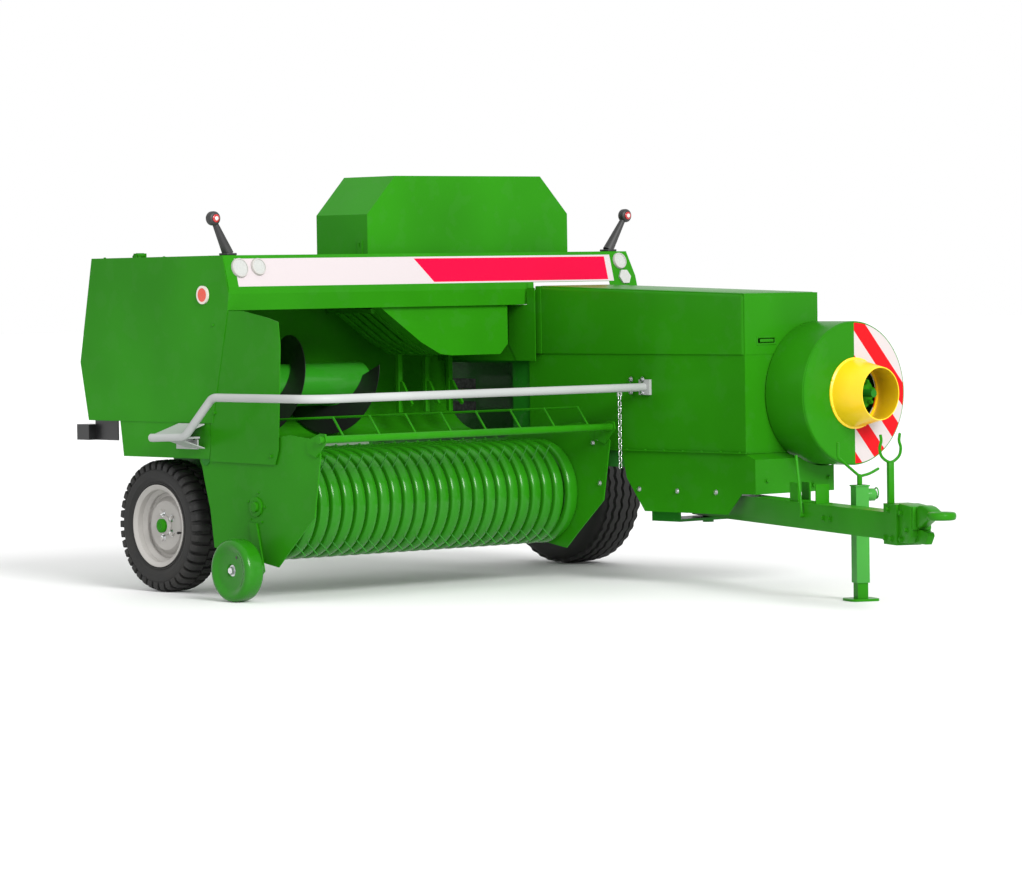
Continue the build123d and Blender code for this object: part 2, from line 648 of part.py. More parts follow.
def front_beam():
    """The folded beam across the front: a deep box above and a lower band to the hood."""
    upper = [(BEAM_TOP_X, BEAM_TOP_Z), (BEAM_FACE_X, BEAM_FACE_Z), (BEAM_BACK_X, BEAM_FACE_Z),
             (BEAM_BACK_X, BEAM_TOP_Z)]
    lower = [(BEAM_FACE_X, BEAM_FACE_Z), (BEAM_NOSE_X, BEAM_NOSE_Z), (BEAM_LOW_X, BEAM_LOW_Z),
             (BEAM_LOW_X - 60, BEAM_LOW_Z), (BEAM_LOW_X - 60, BEAM_FACE_Z)]
    t = SHEET
    upper_in = [(BEAM_TOP_X - t, BEAM_TOP_Z - t), (BEAM_FACE_X - t - 1, BEAM_FACE_Z + t),
                (BEAM_BACK_X + t, BEAM_FACE_Z + t), (BEAM_BACK_X + t, BEAM_TOP_Z - t)]
    lower_in = [(BEAM_FACE_X - t, BEAM_FACE_Z - t), (BEAM_NOSE_X - t, BEAM_NOSE_Z),
                (BEAM_LOW_X - t, BEAM_LOW_Z + t), (BEAM_LOW_X - 60 + t, BEAM_LOW_Z + t),
                (BEAM_LOW_X - 60 + t, BEAM_FACE_Z - t)]
    box = prism_y(upper, (SIDE_Y, BEAM_LEFT_Y)) - prism_y(upper_in, (SIDE_Y - 1, BEAM_LEFT_Y + 1))
    band = prism_y(lower, (SIDE_Y, BAND_LEFT_Y)) - prism_y(lower_in, (SIDE_Y - 1, BAND_LEFT_Y + 1))
    return fused([box, band, beam_wing()])


def beam_wing():
    """The sloped plate beyond the beam's left end, which carries two reflectors."""
    slope = (BEAM_FACE_X - BEAM_TOP_X) / (BEAM_TOP_Z - BEAM_FACE_Z)
    low_z = 1303.0
    low_x = BEAM_TOP_X + slope * (BEAM_TOP_Z - low_z)
    outline = [(BEAM_TOP_X, BEAM_TOP_Z), (low_x, low_z), (low_x - SHEET, low_z), (BEAM_TOP_X - SHEET, BEAM_TOP_Z)]
    plate = prism_y(outline, (BEAM_LEFT_Y, WING_LEFT_Y))
    corner = prism_x([(WING_LEFT_Y + 1, BEAM_TOP_Z + 1), (WING_LEFT_Y - 30, BEAM_TOP_Z + 1),
                      (WING_LEFT_Y + 1, low_z + 60)], (BEAM_TOP_X - 40, low_x + 10))
    shelf = block((BEAM_TOP_X - 60, BEAM_TOP_X - 1), (BEAM_LEFT_Y, WING_LEFT_Y - 40),
                  (BEAM_TOP_Z - SHEET, BEAM_TOP_Z))
    return plate - corner + shelf


def twine_box():
    """The twine compartment behind the trough and the roof sheet, with the seat of the top cover."""
    y = (SIDE_Y + SHEET, BODY_LEFT_Y)
    inner_x = TROUGH_BACK_X - TROUGH_SHEET - SHEET
    floor = block((BODY_REAR_LOW_X, inner_x), y, (BODY_BOTTOM_Z, BODY_BOTTOM_Z + SHEET))
    inner = block((inner_x - SHEET, inner_x), y, (BODY_BOTTOM_Z, BODY_TOP_Z - SHEET))
    rear = prism_y([(BODY_REAR_LOW_X, BODY_BOTTOM_Z), (BODY_REAR_MID_X, BODY_REAR_MID_Z),
                    (BODY_REAR_MID_X + SHEET, BODY_REAR_MID_Z), (BODY_REAR_LOW_X + SHEET, BODY_BOTTOM_Z)], y)
    left = prism_y([(BODY_REAR_LOW_X, BODY_BOTTOM_Z), (BODY_REAR_MID_X, BODY_REAR_MID_Z),
                    (BODY_REAR_MID_X + 12, BODY_REAR_MID_Z + 4), (BODY_REAR_TOP_X + 10, BODY_TOP_Z - SHEET),
                    (inner_x, BODY_TOP_Z - SHEET), (inner_x, BODY_BOTTOM_Z)],
                   (BODY_LEFT_Y - SHEET, BODY_LEFT_Y))
    roof = block((BODY_REAR_TOP_X, BEAM_BACK_X), (SIDE_Y, BODY_LEFT_Y), (BODY_TOP_Z - SHEET, BODY_TOP_Z))
    seat = block((TOP_REAR_X, BEAM_BACK_X), (TOP_RIGHT_Y, TOP_LEFT_Y), (BODY_TOP_Z - SHEET, BEAM_TOP_Z))
    opening = block((TOP_REAR_X + TOP_RIM, BEAM_BACK_X - TOP_RIM), (TOP_RIGHT_Y + TOP_RIM, TOP_LEFT_Y - TOP_RIM),
                    (BODY_TOP_Z - SHEET - 1, BEAM_TOP_Z + 1))
    pieces = [floor, inner, rear, left, roof + seat - opening]
    for y_mid in TOP_HINGE_YS:
        pieces.append(pin_with_lugs("y", (TOP_PIN_X, y_mid, TOP_PIN_Z), BODY_TOP_Z))
    for y_mid in DOOR_HINGE_YS:
        pieces.append(pin_with_lugs("y", (DOOR_PIN_X, y_mid, DOOR_PIN_Z), BODY_TOP_Z))
    return fused(pieces)


def twine_door():
    """The rear door of the twine compartment, hung from its top edge."""
    t = SHEET
    lean = (BODY_REAR_TOP_X - BODY_REAR_MID_X) / (BODY_TOP_Z - BODY_REAR_MID_Z)
    top_z = BODY_TOP_Z - 8
    top_x = BODY_REAR_TOP_X - 8 * lean
    outline = [(top_x, top_z), (BODY_REAR_MID_X, BODY_REAR_MID_Z + SEAT),
               (BODY_REAR_MID_X + t, BODY_REAR_MID_Z + SEAT), (top_x + t, top_z)]
    pieces = [prism_y(outline, (SIDE_Y + GAP, BODY_LEFT_Y - GAP))]
    grip_y = (SIDE_Y + BODY_LEFT_Y) / 2
    pieces.append(block((BODY_REAR_MID_X - 26, BODY_REAR_MID_X + 8), (grip_y - 60, grip_y + 60),
                        (BODY_REAR_MID_Z + 30, BODY_REAR_MID_Z + 44)))
    arm = [(DOOR_PIN_X, DOOR_PIN_Z - 3), (DOOR_PIN_X, DOOR_PIN_Z + 3), (BODY_REAR_TOP_X - 13, DOOR_PIN_Z + 3),
           (BODY_REAR_TOP_X - 19, DOOR_PIN_Z - 3), (BODY_REAR_TOP_X - 19, BODY_TOP_Z - 38),
           (BODY_REAR_TOP_X - 6, BODY_TOP_Z - 38), (BODY_REAR_TOP_X - 1, BODY_TOP_Z - 16),
           (BODY_REAR_TOP_X - 9, BODY_TOP_Z - 10), (BODY_REAR_TOP_X - 9, DOOR_PIN_Z - 3)]
    for y_mid in DOOR_HINGE_YS:
        half = EYE_LENGTH / 2
        pieces.append(hinge_eye("y", (DOOR_PIN_X, y_mid, DOOR_PIN_Z), prism_y(arm, (y_mid - half, y_mid + half))))
    return fused(pieces)


def feed_trough():
    """Floor and back of the feed trough, round under the auger, with its right end wall."""
    out = TROUGH_R + TROUGH_SHEET
    top = BEAM_LOW_Z - 3
    diagonal = math.sqrt(0.5)
    edges = [
        Line((TROUGH_LIP_X, TROUGH_FLOOR_Z), (AUGER_X, TROUGH_FLOOR_Z)),
        ThreePointArc((AUGER_X, TROUGH_FLOOR_Z), (AUGER_X - TROUGH_R * diagonal, AUGER_Z - TROUGH_R * diagonal),
                      (TROUGH_BACK_X, AUGER_Z)),
        Line((TROUGH_BACK_X, AUGER_Z), (TROUGH_BACK_X, top)),
        Line((TROUGH_BACK_X, top), (AUGER_X - out, top)),
        Line((AUGER_X - out, top), (AUGER_X - out, AUGER_Z)),
        ThreePointArc((AUGER_X - out, AUGER_Z), (AUGER_X - out * diagonal, AUGER_Z - out * diagonal),
                      (AUGER_X, AUGER_Z - out)),
        Line((AUGER_X, AUGER_Z - out), (TROUGH_LIP_X, AUGER_Z - out)),
        Line((TROUGH_LIP_X, AUGER_Z - out), (TROUGH_LIP_X, TROUGH_FLOOR_Z)),
    ]
    profile = Plane(origin=(0, END_WALL_Y, 0), x_dir=(1, 0, 0), z_dir=(0, -1, 0)) * make_face(edges)
    sheet = extrude(profile, amount=CHAMBER_RIGHT_Y - END_WALL_Y, dir=(0, 1, 0))
    wall = prism_y([(TROUGH_BACK_X - 2, TROUGH_FLOOR_Z + 60), (AUGER_X, TROUGH_FLOOR_Z - 2),
                    (TROUGH_LIP_X, TROUGH_FLOOR_Z - 2), (TROUGH_LIP_X + 20, 1000), (BEAM_LOW_X - 70, top),
                    (TROUGH_BACK_X - 2, top)], (END_WALL_Y, END_WALL_Y + SHEET))
    bearing = rod((AUGER_X, END_WALL_Y - 12, AUGER_Z), (AUGER_X, END_WALL_Y + 1, AUGER_Z), 60)
    stub = rod((AUGER_X, END_WALL_Y - 12, AUGER_Z), (AUGER_X, END_WALL_Y + SHEET + GAP + 50, AUGER_Z), AUGER_STUB_R)
    return fused([sheet, wall, bearing, stub])


def auger():
    """Hollow core with one helical flight, closed by a disc at its free end."""
    start_y = END_WALL_Y + SHEET + GAP
    core = [(AUGER_CORE_R - 5, start_y), (AUGER_CORE_R, start_y), (AUGER_CORE_R, AUGER_END_Y), (0, AUGER_END_Y),
            (0, AUGER_END_Y - 8), (AUGER_CORE_R - 5, AUGER_END_Y - 8)]
    bore = AUGER_STUB_R + RUN
    boss = [(bore, start_y), (45, start_y), (45, start_y + 60), (0, start_y + 60), (0, start_y + 56),
            (bore, start_y + 56)]
    web = [(40, start_y + 30), (AUGER_CORE_R - 2, start_y + 30), (AUGER_CORE_R - 2, start_y + 40),
           (40, start_y + 40)]
    pieces = [revolved_y(outline, AUGER_X, 0, AUGER_Z) for outline in (core, boss, web)]
    pieces.append(flight(start_y + 4, AUGER_END_Y - 4))
    return fused(pieces)


def flight(start_y, end_y):
    """The helical flight, in flat facets: 14 steps to a turn."""
    steps_per_turn = 14
    thick = 5.0
    count = int(steps_per_turn * (end_y - start_y - thick) / AUGER_PITCH)
    rings = []
    for step in range(count + 1):
        turn = 2 * math.pi * step / steps_per_turn
        y = start_y + AUGER_PITCH * step / steps_per_turn
        ring = []
        for radius, offset in ((AUGER_CORE_R - 3, 0), (AUGER_FLIGHT_R, 0), (AUGER_FLIGHT_R, thick),
                               (AUGER_CORE_R - 3, thick)):
            ring.append(Vector(AUGER_X + radius * math.cos(turn), y + offset, AUGER_Z + radius * math.sin(turn)))
        rings.append(ring)
    faces = [triangle_face(rings[0][0], rings[0][1], rings[0][2]), triangle_face(rings[0][0], rings[0][2], rings[0][3]),
             triangle_face(rings[-1][0], rings[-1][1], rings[-1][2]),
             triangle_face(rings[-1][0], rings[-1][2], rings[-1][3])]
    for near, far in zip(rings, rings[1:]):
        for corner in range(4):
            other = (corner + 1) % 4
            faces.append(triangle_face(near[corner], near[other], far[other]))
            faces.append(triangle_face(near[corner], far[other], far[corner]))
    return Solid(Shell(faces))


def triangle_face(a, b, c):
    return Face(Wire.make_polygon([a, b, c], close=True))


def feeder_guard_outline(drop):
    """The curve of the feeder's slotted guard, seen from the front, as (y, z) edges."""
    top = BEAM_LOW_Z
    left_y = 1514.0
    low = 1020.0 + drop
    return [(763.0, top), (1000.0, low + 62), (1110.0, low + 8), (1180.0, low), (left_y - 46, low),
            (left_y, low + 46), (left_y, top)]


def feeder_cover():
    """The light cover behind the beam: a front plate with rounded lower corners and its under-wall."""
    front_x = 552.0
    outer = feeder_guard_outline(0)
    inner = [(763.0 + 8, BEAM_LOW_Z + 1), (1003.0, 1020.0 + 67), (1112.0, 1020.0 + 12), (1180.0, 1020.0 + SHEET),
             (1514.0 - 48, 1020.0 + SHEET), (1514.0 - SHEET, 1020.0 + 48), (1514.0 - SHEET, BEAM_LOW_Z + 1)]
    body = prism_x(outer, (front_x - 70, front_x))
    return fused([body - prism_x(inner, (front_x - 71, front_x - SHEET)), feeder_bars()])


def feeder_bars():
    """Curved bars with slots between them, through which the feeder's fingers reach."""
    pieces = []
    for index in range(5):
        x = 470.0 - index * 62.0
        outer = feeder_guard_outline(0)
        inner = [(y, z + 8) for y, z in outer]
        shape = [(y, z) for y, z in outer[:-1]] + [(y, z) for y, z in reversed(inner[:-1])]
        pieces.append(prism_x(shape, (x - 34, x)))
    carrier_y = (780.0, 1500.0)
    hanger = block((170, 490), (carrier_y[0] - 20, carrier_y[0]), (BEAM_LOW_Z - 26, BEAM_LOW_Z - 6))
    far = block((170, 490), (1480, 1512), (1062, 1078))
    return fused(pieces + [hanger, far])


def feeder_forks():
    """The feeder's carriage under its cover, with the arms and fingers that reach into the trough."""
    pieces = [block((200, 300), (900, 1480), (BODY_TOP_Z + 60, BODY_TOP_Z + 110))]
    for y in (1130.0, 1290.0, 1430.0):
        pieces.append(block((226, 246), (y - 12, y + 12), (760, BODY_TOP_Z + 62)))
        pieces.append(prism_y([(230, 900), (262, 900), (330, 800), (322, 790), (255, 850), (230, 850)],
                              (y - 6, y + 6)))
    for y in ((905, 945), (1440, 1480)):
        pieces.append(block((215, 285), y, (BEAM_TOP_Z, BODY_TOP_Z + 62)))
        pieces.append(block((TOP_REAR_X + 14, BEAM_BACK_X - 6), y, (BEAM_TOP_Z, BEAM_TOP_Z + 8)))
    return fused(pieces)


def divider_wall():
    """The plate between the feed space and the knotters, from the chamber up to the beam."""
    outline = [(TROUGH_BACK_X, CHAMBER_TOP_Z), (560, CHAMBER_TOP_Z), (560, 1200), (510, BEAM_LOW_Z),
               (510, BEAM_FACE_Z), (BEAM_BACK_X, BEAM_FACE_Z), (BEAM_BACK_X - 1, BODY_TOP_Z - SHEET),
               (TROUGH_BACK_X, BODY_TOP_Z - SHEET)]
    foot = block((TROUGH_BACK_X, 560), (BODY_LEFT_Y, CHAMBER_RIGHT_Y + 30), (CHAMBER_TOP_Z, CHAMBER_TOP_Z + SHEET))
    return prism_y(outline, (BODY_LEFT_Y - SHEET, BODY_LEFT_Y)) + foot


def top_cover():
    """The chamfered cover over the feeder's crank, hinged at its rear edge."""
    top = TOP_BASE_Z + TOP_HEIGHT
    knee = top - TOP_CHAMFER_Z

    def outline(t):
        return [(TOP_RIGHT_Y + t, TOP_BASE_Z - (1 if t else 0)), (TOP_RIGHT_Y + t, knee),
                (TOP_RIGHT_Y + TOP_CHAMFER_Y + t * 0.4, top - t), (TOP_LEFT_Y - TOP_CHAMFER_Y - t * 0.4, top - t),
                (TOP_LEFT_Y - t, knee), (TOP_LEFT_Y - t, TOP_BASE_Z - (1 if t else 0))]

    shell = prism_x(outline(0), (TOP_REAR_X, TOP_FRONT_X))
    shell -= prism_x(outline(SHEET), (TOP_REAR_X + SHEET, TOP_FRONT_X - SHEET))
    tab = block((TOP_FRONT_X - 70, TOP_FRONT_X - 35), (TOP_RIGHT_Y - SHEET, TOP_RIGHT_Y),
                (TOP_BASE_Z, TOP_BASE_Z + 62))
    slot = block((TOP_FRONT_X - 58, TOP_FRONT_X - 47), (TOP_RIGHT_Y - 10, TOP_RIGHT_Y + 1),
                 (TOP_BASE_Z + 30, TOP_BASE_Z + 48))
    pieces = [shell, tab - slot]
    for y_mid in TOP_HINGE_YS:
        leaf = block((TOP_PIN_X, TOP_REAR_X + 1), (y_mid - EYE_LENGTH / 2, y_mid + EYE_LENGTH / 2),
                     (TOP_PIN_Z - 3, TOP_PIN_Z + 3))
        pieces.append(hinge_eye("y", (TOP_PIN_X, y_mid, TOP_PIN_Z), leaf))
    return fused(pieces)


# Hood and drive


def hood_cover():
    """The upper cover, hinged along its left lower edge."""
    low_z = HOOD_SEAM_Z + SEAT
    outline = [(HOOD_REAR_X, low_z), (HOOD_FRONT_X, low_z), (HOOD_FRONT_X, HOOD_FRONT_TOP_Z),
               (HOOD_REAR_X, HOOD_REAR_TOP_Z)]
    t = SHEET
    inside = [(HOOD_REAR_X + t, HOOD_SEAM_Z - 1), (HOOD_FRONT_X - t, HOOD_SEAM_Z - 1),
              (HOOD_FRONT_X - t, HOOD_FRONT_TOP_Z - t), (HOOD_REAR_X + t, HOOD_REAR_TOP_Z - t)]
    shell = prism_y(outline, (HOOD_RIGHT_Y, HOOD_LEFT_Y))
    pieces = [shell - prism_y(inside, (HOOD_RIGHT_Y + t, HOOD_LEFT_Y - t))]
    for x_mid in HOOD_HINGE_XS:
        leaf = block((x_mid - EYE_LENGTH / 2, x_mid + EYE_LENGTH / 2), (HOOD_LEFT_Y - 1, HOOD_PIN_Y),
                     (HOOD_PIN_Z - 3, HOOD_PIN_Z + 3))
        pieces.append(hinge_eye("x", (x_mid, HOOD_PIN_Y, HOOD_PIN_Z), leaf))
    return fused(pieces)


def hood_side():
    """The fixed lower panels of the hood: right side, front with the shaft's opening, and left strip."""
    t = SHEET
    side = block((HOOD_SIDE_REAR_X, HOOD_FRONT_X), (HOOD_RIGHT_Y, HOOD_RIGHT_Y + t), (HOOD_BOTTOM_Z, HOOD_SEAM_Z))
    front = block((HOOD_FRONT_X - t, HOOD_FRONT_X), (HOOD_RIGHT_Y, HOOD_LEFT_Y), (HOOD_BOTTOM_Z, HOOD_SEAM_Z))
    front -= rod((HOOD_FRONT_X - 10, INPUT_Y, INPUT_Z), (HOOD_FRONT_X + 10, INPUT_Y, INPUT_Z), 60)
    left_y = (HOOD_LEFT_Y - t, HOOD_LEFT_Y)
    left = block((HOOD_REAR_X, HOOD_FRONT_X), left_y, (CHAMBER_TOP_Z, HOOD_SEAM_Z))
    behind = block((CHAMBER_FRONT_X + 10, GEARBOX_FRONT_X - GEARBOX_LENGTH - GAP), left_y,
                   (RAIL_TOP_Z, CHAMBER_TOP_Z + 1))
    rear = block((HOOD_REAR_X, HOOD_REAR_X + t), (HOOD_RIGHT_Y, HOOD_LEFT_Y), (CHAMBER_TOP_Z, HOOD_SEAM_Z))
    pieces = [side, front, left, behind, rear]
    lug = [(HOOD_LEFT_Y, HOOD_SEAM_Z - 28), (HOOD_LEFT_Y, HOOD_SEAM_Z), (HOOD_PIN_Y - 9, HOOD_SEAM_Z + 3),
           (HOOD_PIN_Y - 9, HOOD_PIN_Z + 9), (HOOD_PIN_Y + 9, HOOD_PIN_Z + 9), (HOOD_PIN_Y + 9, HOOD_PIN_Z - 9),
           (HOOD_LEFT_Y + 10, HOOD_SEAM_Z - 28)]
    for x_mid in HOOD_HINGE_XS:
        inner = EYE_LENGTH / 2 + LUG_GAP
        pieces.append(prism_x(lug, (x_mid - inner - LUG_WIDTH, x_mid - inner)))
        pieces.append(prism_x(lug, (x_mid + inner, x_mid + inner + LUG_WIDTH)))
        pieces.append(rod((x_mid - inner - 1, HOOD_PIN_Y, HOOD_PIN_Z), (x_mid + inner + 1, HOOD_PIN_Y, HOOD_PIN_Z),
                          HINGE_PIN_R))
    return fused(pieces)


def hood_skirt():
    """The skirt under the hood, cut away round the flywheel guard and above the drawbar."""
    t = SHEET
    top_z = HOOD_BOTTOM_Z - 2
    side = prism_y([(1180, top_z), (1211, 465), (1326, SKIRT_BOTTOM_Z), (1856, SKIRT_BOTTOM_Z),
                    (1945, SKIRT_FRONT_BOTTOM_Z), (SKIRT_FRONT_X, SKIRT_FRONT_BOTTOM_Z),
                    (SKIRT_FRONT_X, top_z - 24), (HOOD_FRONT_X + 2, top_z)],
                   (HOOD_RIGHT_Y, HOOD_RIGHT_Y + t))
    left = prism_y([(1500, RAIL_TOP_Z - 30), (1500, 465), (1600, SKIRT_FRONT_BOTTOM_Z),
                    (SKIRT_FRONT_X, SKIRT_FRONT_BOTTOM_Z), (SKIRT_FRONT_X, 500), (HOOD_FRONT_X - 40, RAIL_TOP_Z - 30)],
                   (CHAMBER_LEFT_Y, CHAMBER_LEFT_Y + t))
    front = block((SKIRT_FRONT_X - t, SKIRT_FRONT_X), (HOOD_RIGHT_Y, CHAMBER_LEFT_Y + t),
                  (SKIRT_FRONT_BOTTOM_Z, top_z - 24))
    ledge = prism_y([(HOOD_FRONT_X + 2, top_z), (SKIRT_FRONT_X, top_z - 24), (SKIRT_FRONT_X, top_z - 24 - t),
                     (HOOD_FRONT_X + 2, top_z - t)], (HOOD_RIGHT_Y, HOOD_LEFT_Y))
    whole = fused([side, left, front, ledge])
    return whole - rod((HOOD_FRONT_X - 60, INPUT_Y, INPUT_Z), (SKIRT_FRONT_X + 10, INPUT_Y, INPUT_Z), GUARD_R + GAP)


def gearbox():
    """The gearbox as one block with its input neck and its crank cover."""
    rear_x = GEARBOX_FRONT_X - GEARBOX_LENGTH
    half = GEARBOX_SIDE / 2
    housing = block((rear_x, GEARBOX_FRONT_X), (INPUT_Y - half, INPUT_Y + half), (INPUT_Z - half, INPUT_Z + half))
    neck = rod((GEARBOX_FRONT_X - 1, INPUT_Y, INPUT_Z), (HOOD_FRONT_X - 20, INPUT_Y, INPUT_Z), 50)
    bore = rod((GEARBOX_FRONT_X - 100, INPUT_Y, INPUT_Z), (HOOD_FRONT_X + 1, INPUT_Y, INPUT_Z), SHAFT_R + RUN)
    crank = rod((rear_x + 150, INPUT_Y - half - 90, INPUT_Z + 40), (rear_x + 150, INPUT_Y - half + 1, INPUT_Z + 40), 90)
    foot = block((rear_x + 20, GEARBOX_FRONT_X - 20), (CHAMBER_LEFT_Y - RAIL_WIDTH, CHAMBER_LEFT_Y),
                 (RAIL_TOP_Z, INPUT_Z - half + 1))
    return fused([housing, neck, crank, foot]) - bore


def flywheel_guard():
    """The round guard over the flywheel, with its front disc open at the cone and three rear pads."""
    t = SHEET
    front = GUARD_FRONT_X
    outline = [(GUARD_REAR_X, GUARD_R - 22), (GUARD_REAR_X, GUARD_R), (front - 10, GUARD_R), (front, GUARD_R - 8),
               (front, CONE_BASE_R - 20), (front - t, CONE_BASE_R - 20), (front - t, GUARD_R - 9),
               (front - 11, GUARD_R - t), (GUARD_REAR_X + t, GUARD_R - t), (GUARD_REAR_X + t, GUARD_R - 22)]
    drum = revolved_x(outline, INPUT_Y, INPUT_Z)
    pieces = [drum]
    for angle in (150, 180, 215):
        turn = math.radians(angle)
        reach = GUARD_R - 14
        y = INPUT_Y + reach * math.cos(turn)
        z = INPUT_Z + reach * math.sin(turn)
        pieces.append(rod((HOOD_FRONT_X, y, z), (GUARD_REAR_X + 1, y, z), 7))
    return fused(pieces)


def shaft_cone():
    """The yellow cone round the drive shaft's end."""
    t = 4.0
    front = GUARD_FRONT_X
    outline = [(front, CONE_BASE_R - 18), (front, CONE_BASE_R + 6), (front + 4, CONE_BASE_R + 6),
               (front + 10, CONE_BASE_R - 2), (CONE_FRONT_X, CONE_MOUTH_R), (CONE_FRONT_X, CONE_MOUTH_R - t),
               (front + 4, CONE_BASE_R - 2 - t), (front + 4, CONE_BASE_R - 18)]
    return revolved_x(outline, INPUT_Y, INPUT_Z)


def input_shaft():
    """The drive shaft with its flywheel, its coupling flange and the free end that takes a driveline."""
    start_x = GEARBOX_FRONT_X - 95
    wheel_x = HOOD_FRONT_X + 60
    rim_in = FLYWHEEL_R - 70
    outline = [(start_x, 0), (start_x, SHAFT_R), (wheel_x - 30, SHAFT_R), (wheel_x - 30, 55), (wheel_x + 16, 55),
               (wheel_x + 16, rim_in), (wheel_x, rim_in), (wheel_x, FLYWHEEL_R),
               (wheel_x + FLYWHEEL_WIDTH, FLYWHEEL_R), (wheel_x + FLYWHEEL_WIDTH, rim_in), (wheel_x + 36, rim_in),
               (wheel_x + 36, 70), (wheel_x + 96, 70), (wheel_x + 110, 60), (wheel_x + 110, SHAFT_R + 9),
               (CONE_FRONT_X - 130, SHAFT_R + 9), (CONE_FRONT_X - 130, SPLINE_R), (CONE_FRONT_X - 40, SPLINE_R),
               (CONE_FRONT_X - 40, 0)]
    return revolved_x(outline, INPUT_Y, INPUT_Z)


# Pickup


def pickup_outline():
    """The outline of the pickup's side plates."""
    return [(PIVOT_X, PIVOT_Z), (PIVOT_X - 30, PIVOT_Z - 30), (376, 508), (415, 379), (440, 215), (817, 155),
            (885, 145), (963, 216), (1136, 366), (1183, 633), (1150, 668), (1100, 700), (976, 712), (560, 655),
            (PIVOT_X + 85, PIVOT_Z + 40), (PIVOT_X + PIVOT_BOSS_R, PIVOT_Z)]


def pickup_frame():
    """Two side plates on the pivot tube, joined by cross tubes that carry the bands."""
    pieces = []
    for y in (PICKUP_RIGHT_Y, PICKUP_LEFT_Y):
        plate = prism_y(pickup_outline(), (y, y + PLATE))
        plate += rod((PIVOT_X, y, PIVOT_Z), (PIVOT_X, y + PLATE, PIVOT_Z), PIVOT_BOSS_R)
        plate -= rod((PIVOT_X, y - 5, PIVOT_Z), (PIVOT_X, y + PLATE + 5, PIVOT_Z), PIVOT_TUBE_R + RUN)
        plate -= rod((REEL_X, y - 5, REEL_Z), (REEL_X, y + PLATE + 5, REEL_Z), 16 + RUN)
        pieces.append(plate)
    arm_z = GAUGE_R
    arm = prism_y([(GAUGE_X - 30, arm_z - 10), (GAUGE_X - 14, arm_z - 25), (GAUGE_X + 14, arm_z - 25),
                   (GAUGE_X + 30, arm_z - 10), (GAUGE_X - 20, 330), (GAUGE_X - 70, 330)],
                  (PICKUP_RIGHT_Y - BAR, PICKUP_RIGHT_Y))
    pin = rod((GAUGE_X, PICKUP_RIGHT_Y - 1, arm_z), (GAUGE_X, GAUGE_Y - 14, arm_z), GAUGE_PIN_R)
    return fused(pieces + [arm, pin] + wind_guard_lugs())


def band_first_y():
    """The middle of the first band, so that the row fills the space beside the end drum."""
    span = PICKUP_LEFT_Y - DRUM_WIDTH - PICKUP_RIGHT_Y - PLATE
    return PICKUP_RIGHT_Y + PLATE + (span - (BAND_COUNT - 1) * BAND_PITCH) / 2


def band_edges(radius):
    """A band's line at one radius: flat on top, round in front, then rising gently to the rear."""
    tail = math.radians(BAND_TAIL_ANGLE)
    bottom = (REEL_X - radius * math.sin(tail), REEL_Z - radius * math.cos(tail))
    run = bottom[0] - BAND_REAR_X
    rear = (BAND_REAR_X, bottom[1] + run * math.tan(tail))
    return [((BAND_REAR_X, REEL_Z + radius), (REEL_X, REEL_Z + radius)),
            ((REEL_X, REEL_Z + radius), (REEL_X + radius, REEL_Z), bottom),
            (bottom, rear)]


def band(y, width):
    """One stripper band, bent round the reel."""
    outer = band_edges(BAND_R)
    inner = band_edges(BAND_R - BAND_SHEET)
    edges = [Line(*outer[0]), ThreePointArc(*outer[1]), Line(*outer[2]),
             Line(outer[2][1], inner[2][1]), Line(inner[2][1], inner[2][0]),
             ThreePointArc(inner[1][2], inner[1][1], inner[1][0]), Line(inner[0][1], inner[0][0]),
             Line(inner[0][0], outer[0][0])]
    profile = Plane(origin=(0, y - width / 2, 0), x_dir=(1, 0, 0), z_dir=(0, -1, 0)) * make_face(edges)
    return extrude(profile, amount=width, dir=(0, 1, 0))


def stripper_bands():
    """The row of bands between which the tines pass, the smooth drum at the left end and the two
    cross bars that carry them all."""
    pieces = [band(band_first_y() + index * BAND_PITCH, BAND_WIDTH) for index in range(BAND_COUNT)]
    pieces.append(band(PICKUP_LEFT_Y - DRUM_WIDTH / 2 - SEAT, DRUM_WIDTH))
    span = (PICKUP_RIGHT_Y + PLATE, PICKUP_LEFT_Y)
    top_z = REEL_Z + BAND_R - BAND_SHEET
    low_z = band_edges(BAND_R - BAND_SHEET)[2][1][1]
    pieces.append(block((BAND_REAR_X - 6, BAND_REAR_X + 30), span, (top_z - 42, top_z + 1)))
    pieces.append(block((BAND_REAR_X - 8, BAND_REAR_X + 22), span, (low_z - 7, low_z + 20)))
    return fused(pieces)


def tine_reel():
    """The reel: a shaft, spiders, four tine bars and a tine in every gap between the bands."""
    start_y = PICKUP_RIGHT_Y + PLATE + GAP
    end_y = PICKUP_LEFT_Y - GAP
    pieces = [rod((0, start_y, 0), (0, end_y, 0), REEL_TUBE_R),
              rod((0, PICKUP_RIGHT_Y + 1, 0), (0, PICKUP_LEFT_Y + PLATE - 1, 0), 16)]
    for y in (start_y + 20, (start_y + end_y) / 2, end_y - 26):
        pieces.append(rod((0, y, 0), (0, y + 6, 0), TINE_BAR_RADIUS + 18))
    for index in range(TINE_BARS):
        turn = 360.0 * index / TINE_BARS + 20
        bar = rod((TINE_BAR_RADIUS, start_y + 10, 0), (TINE_BAR_RADIUS, end_y - 10, 0), TINE_BAR_R)
        tines = []
        for gap in range(BAND_COUNT - 1):
            y = band_first_y() + (gap + 0.5) * BAND_PITCH
            half = TINE_SIDE / 2
            tines.append(block((TINE_BAR_RADIUS, TINE_R), (y - half, y + half), (-half, half)))
        pieces.append(Rot(0, turn, 0) * fused([bar] + tines))
    return Pos(REEL_X, 0, REEL_Z) * fused(pieces)


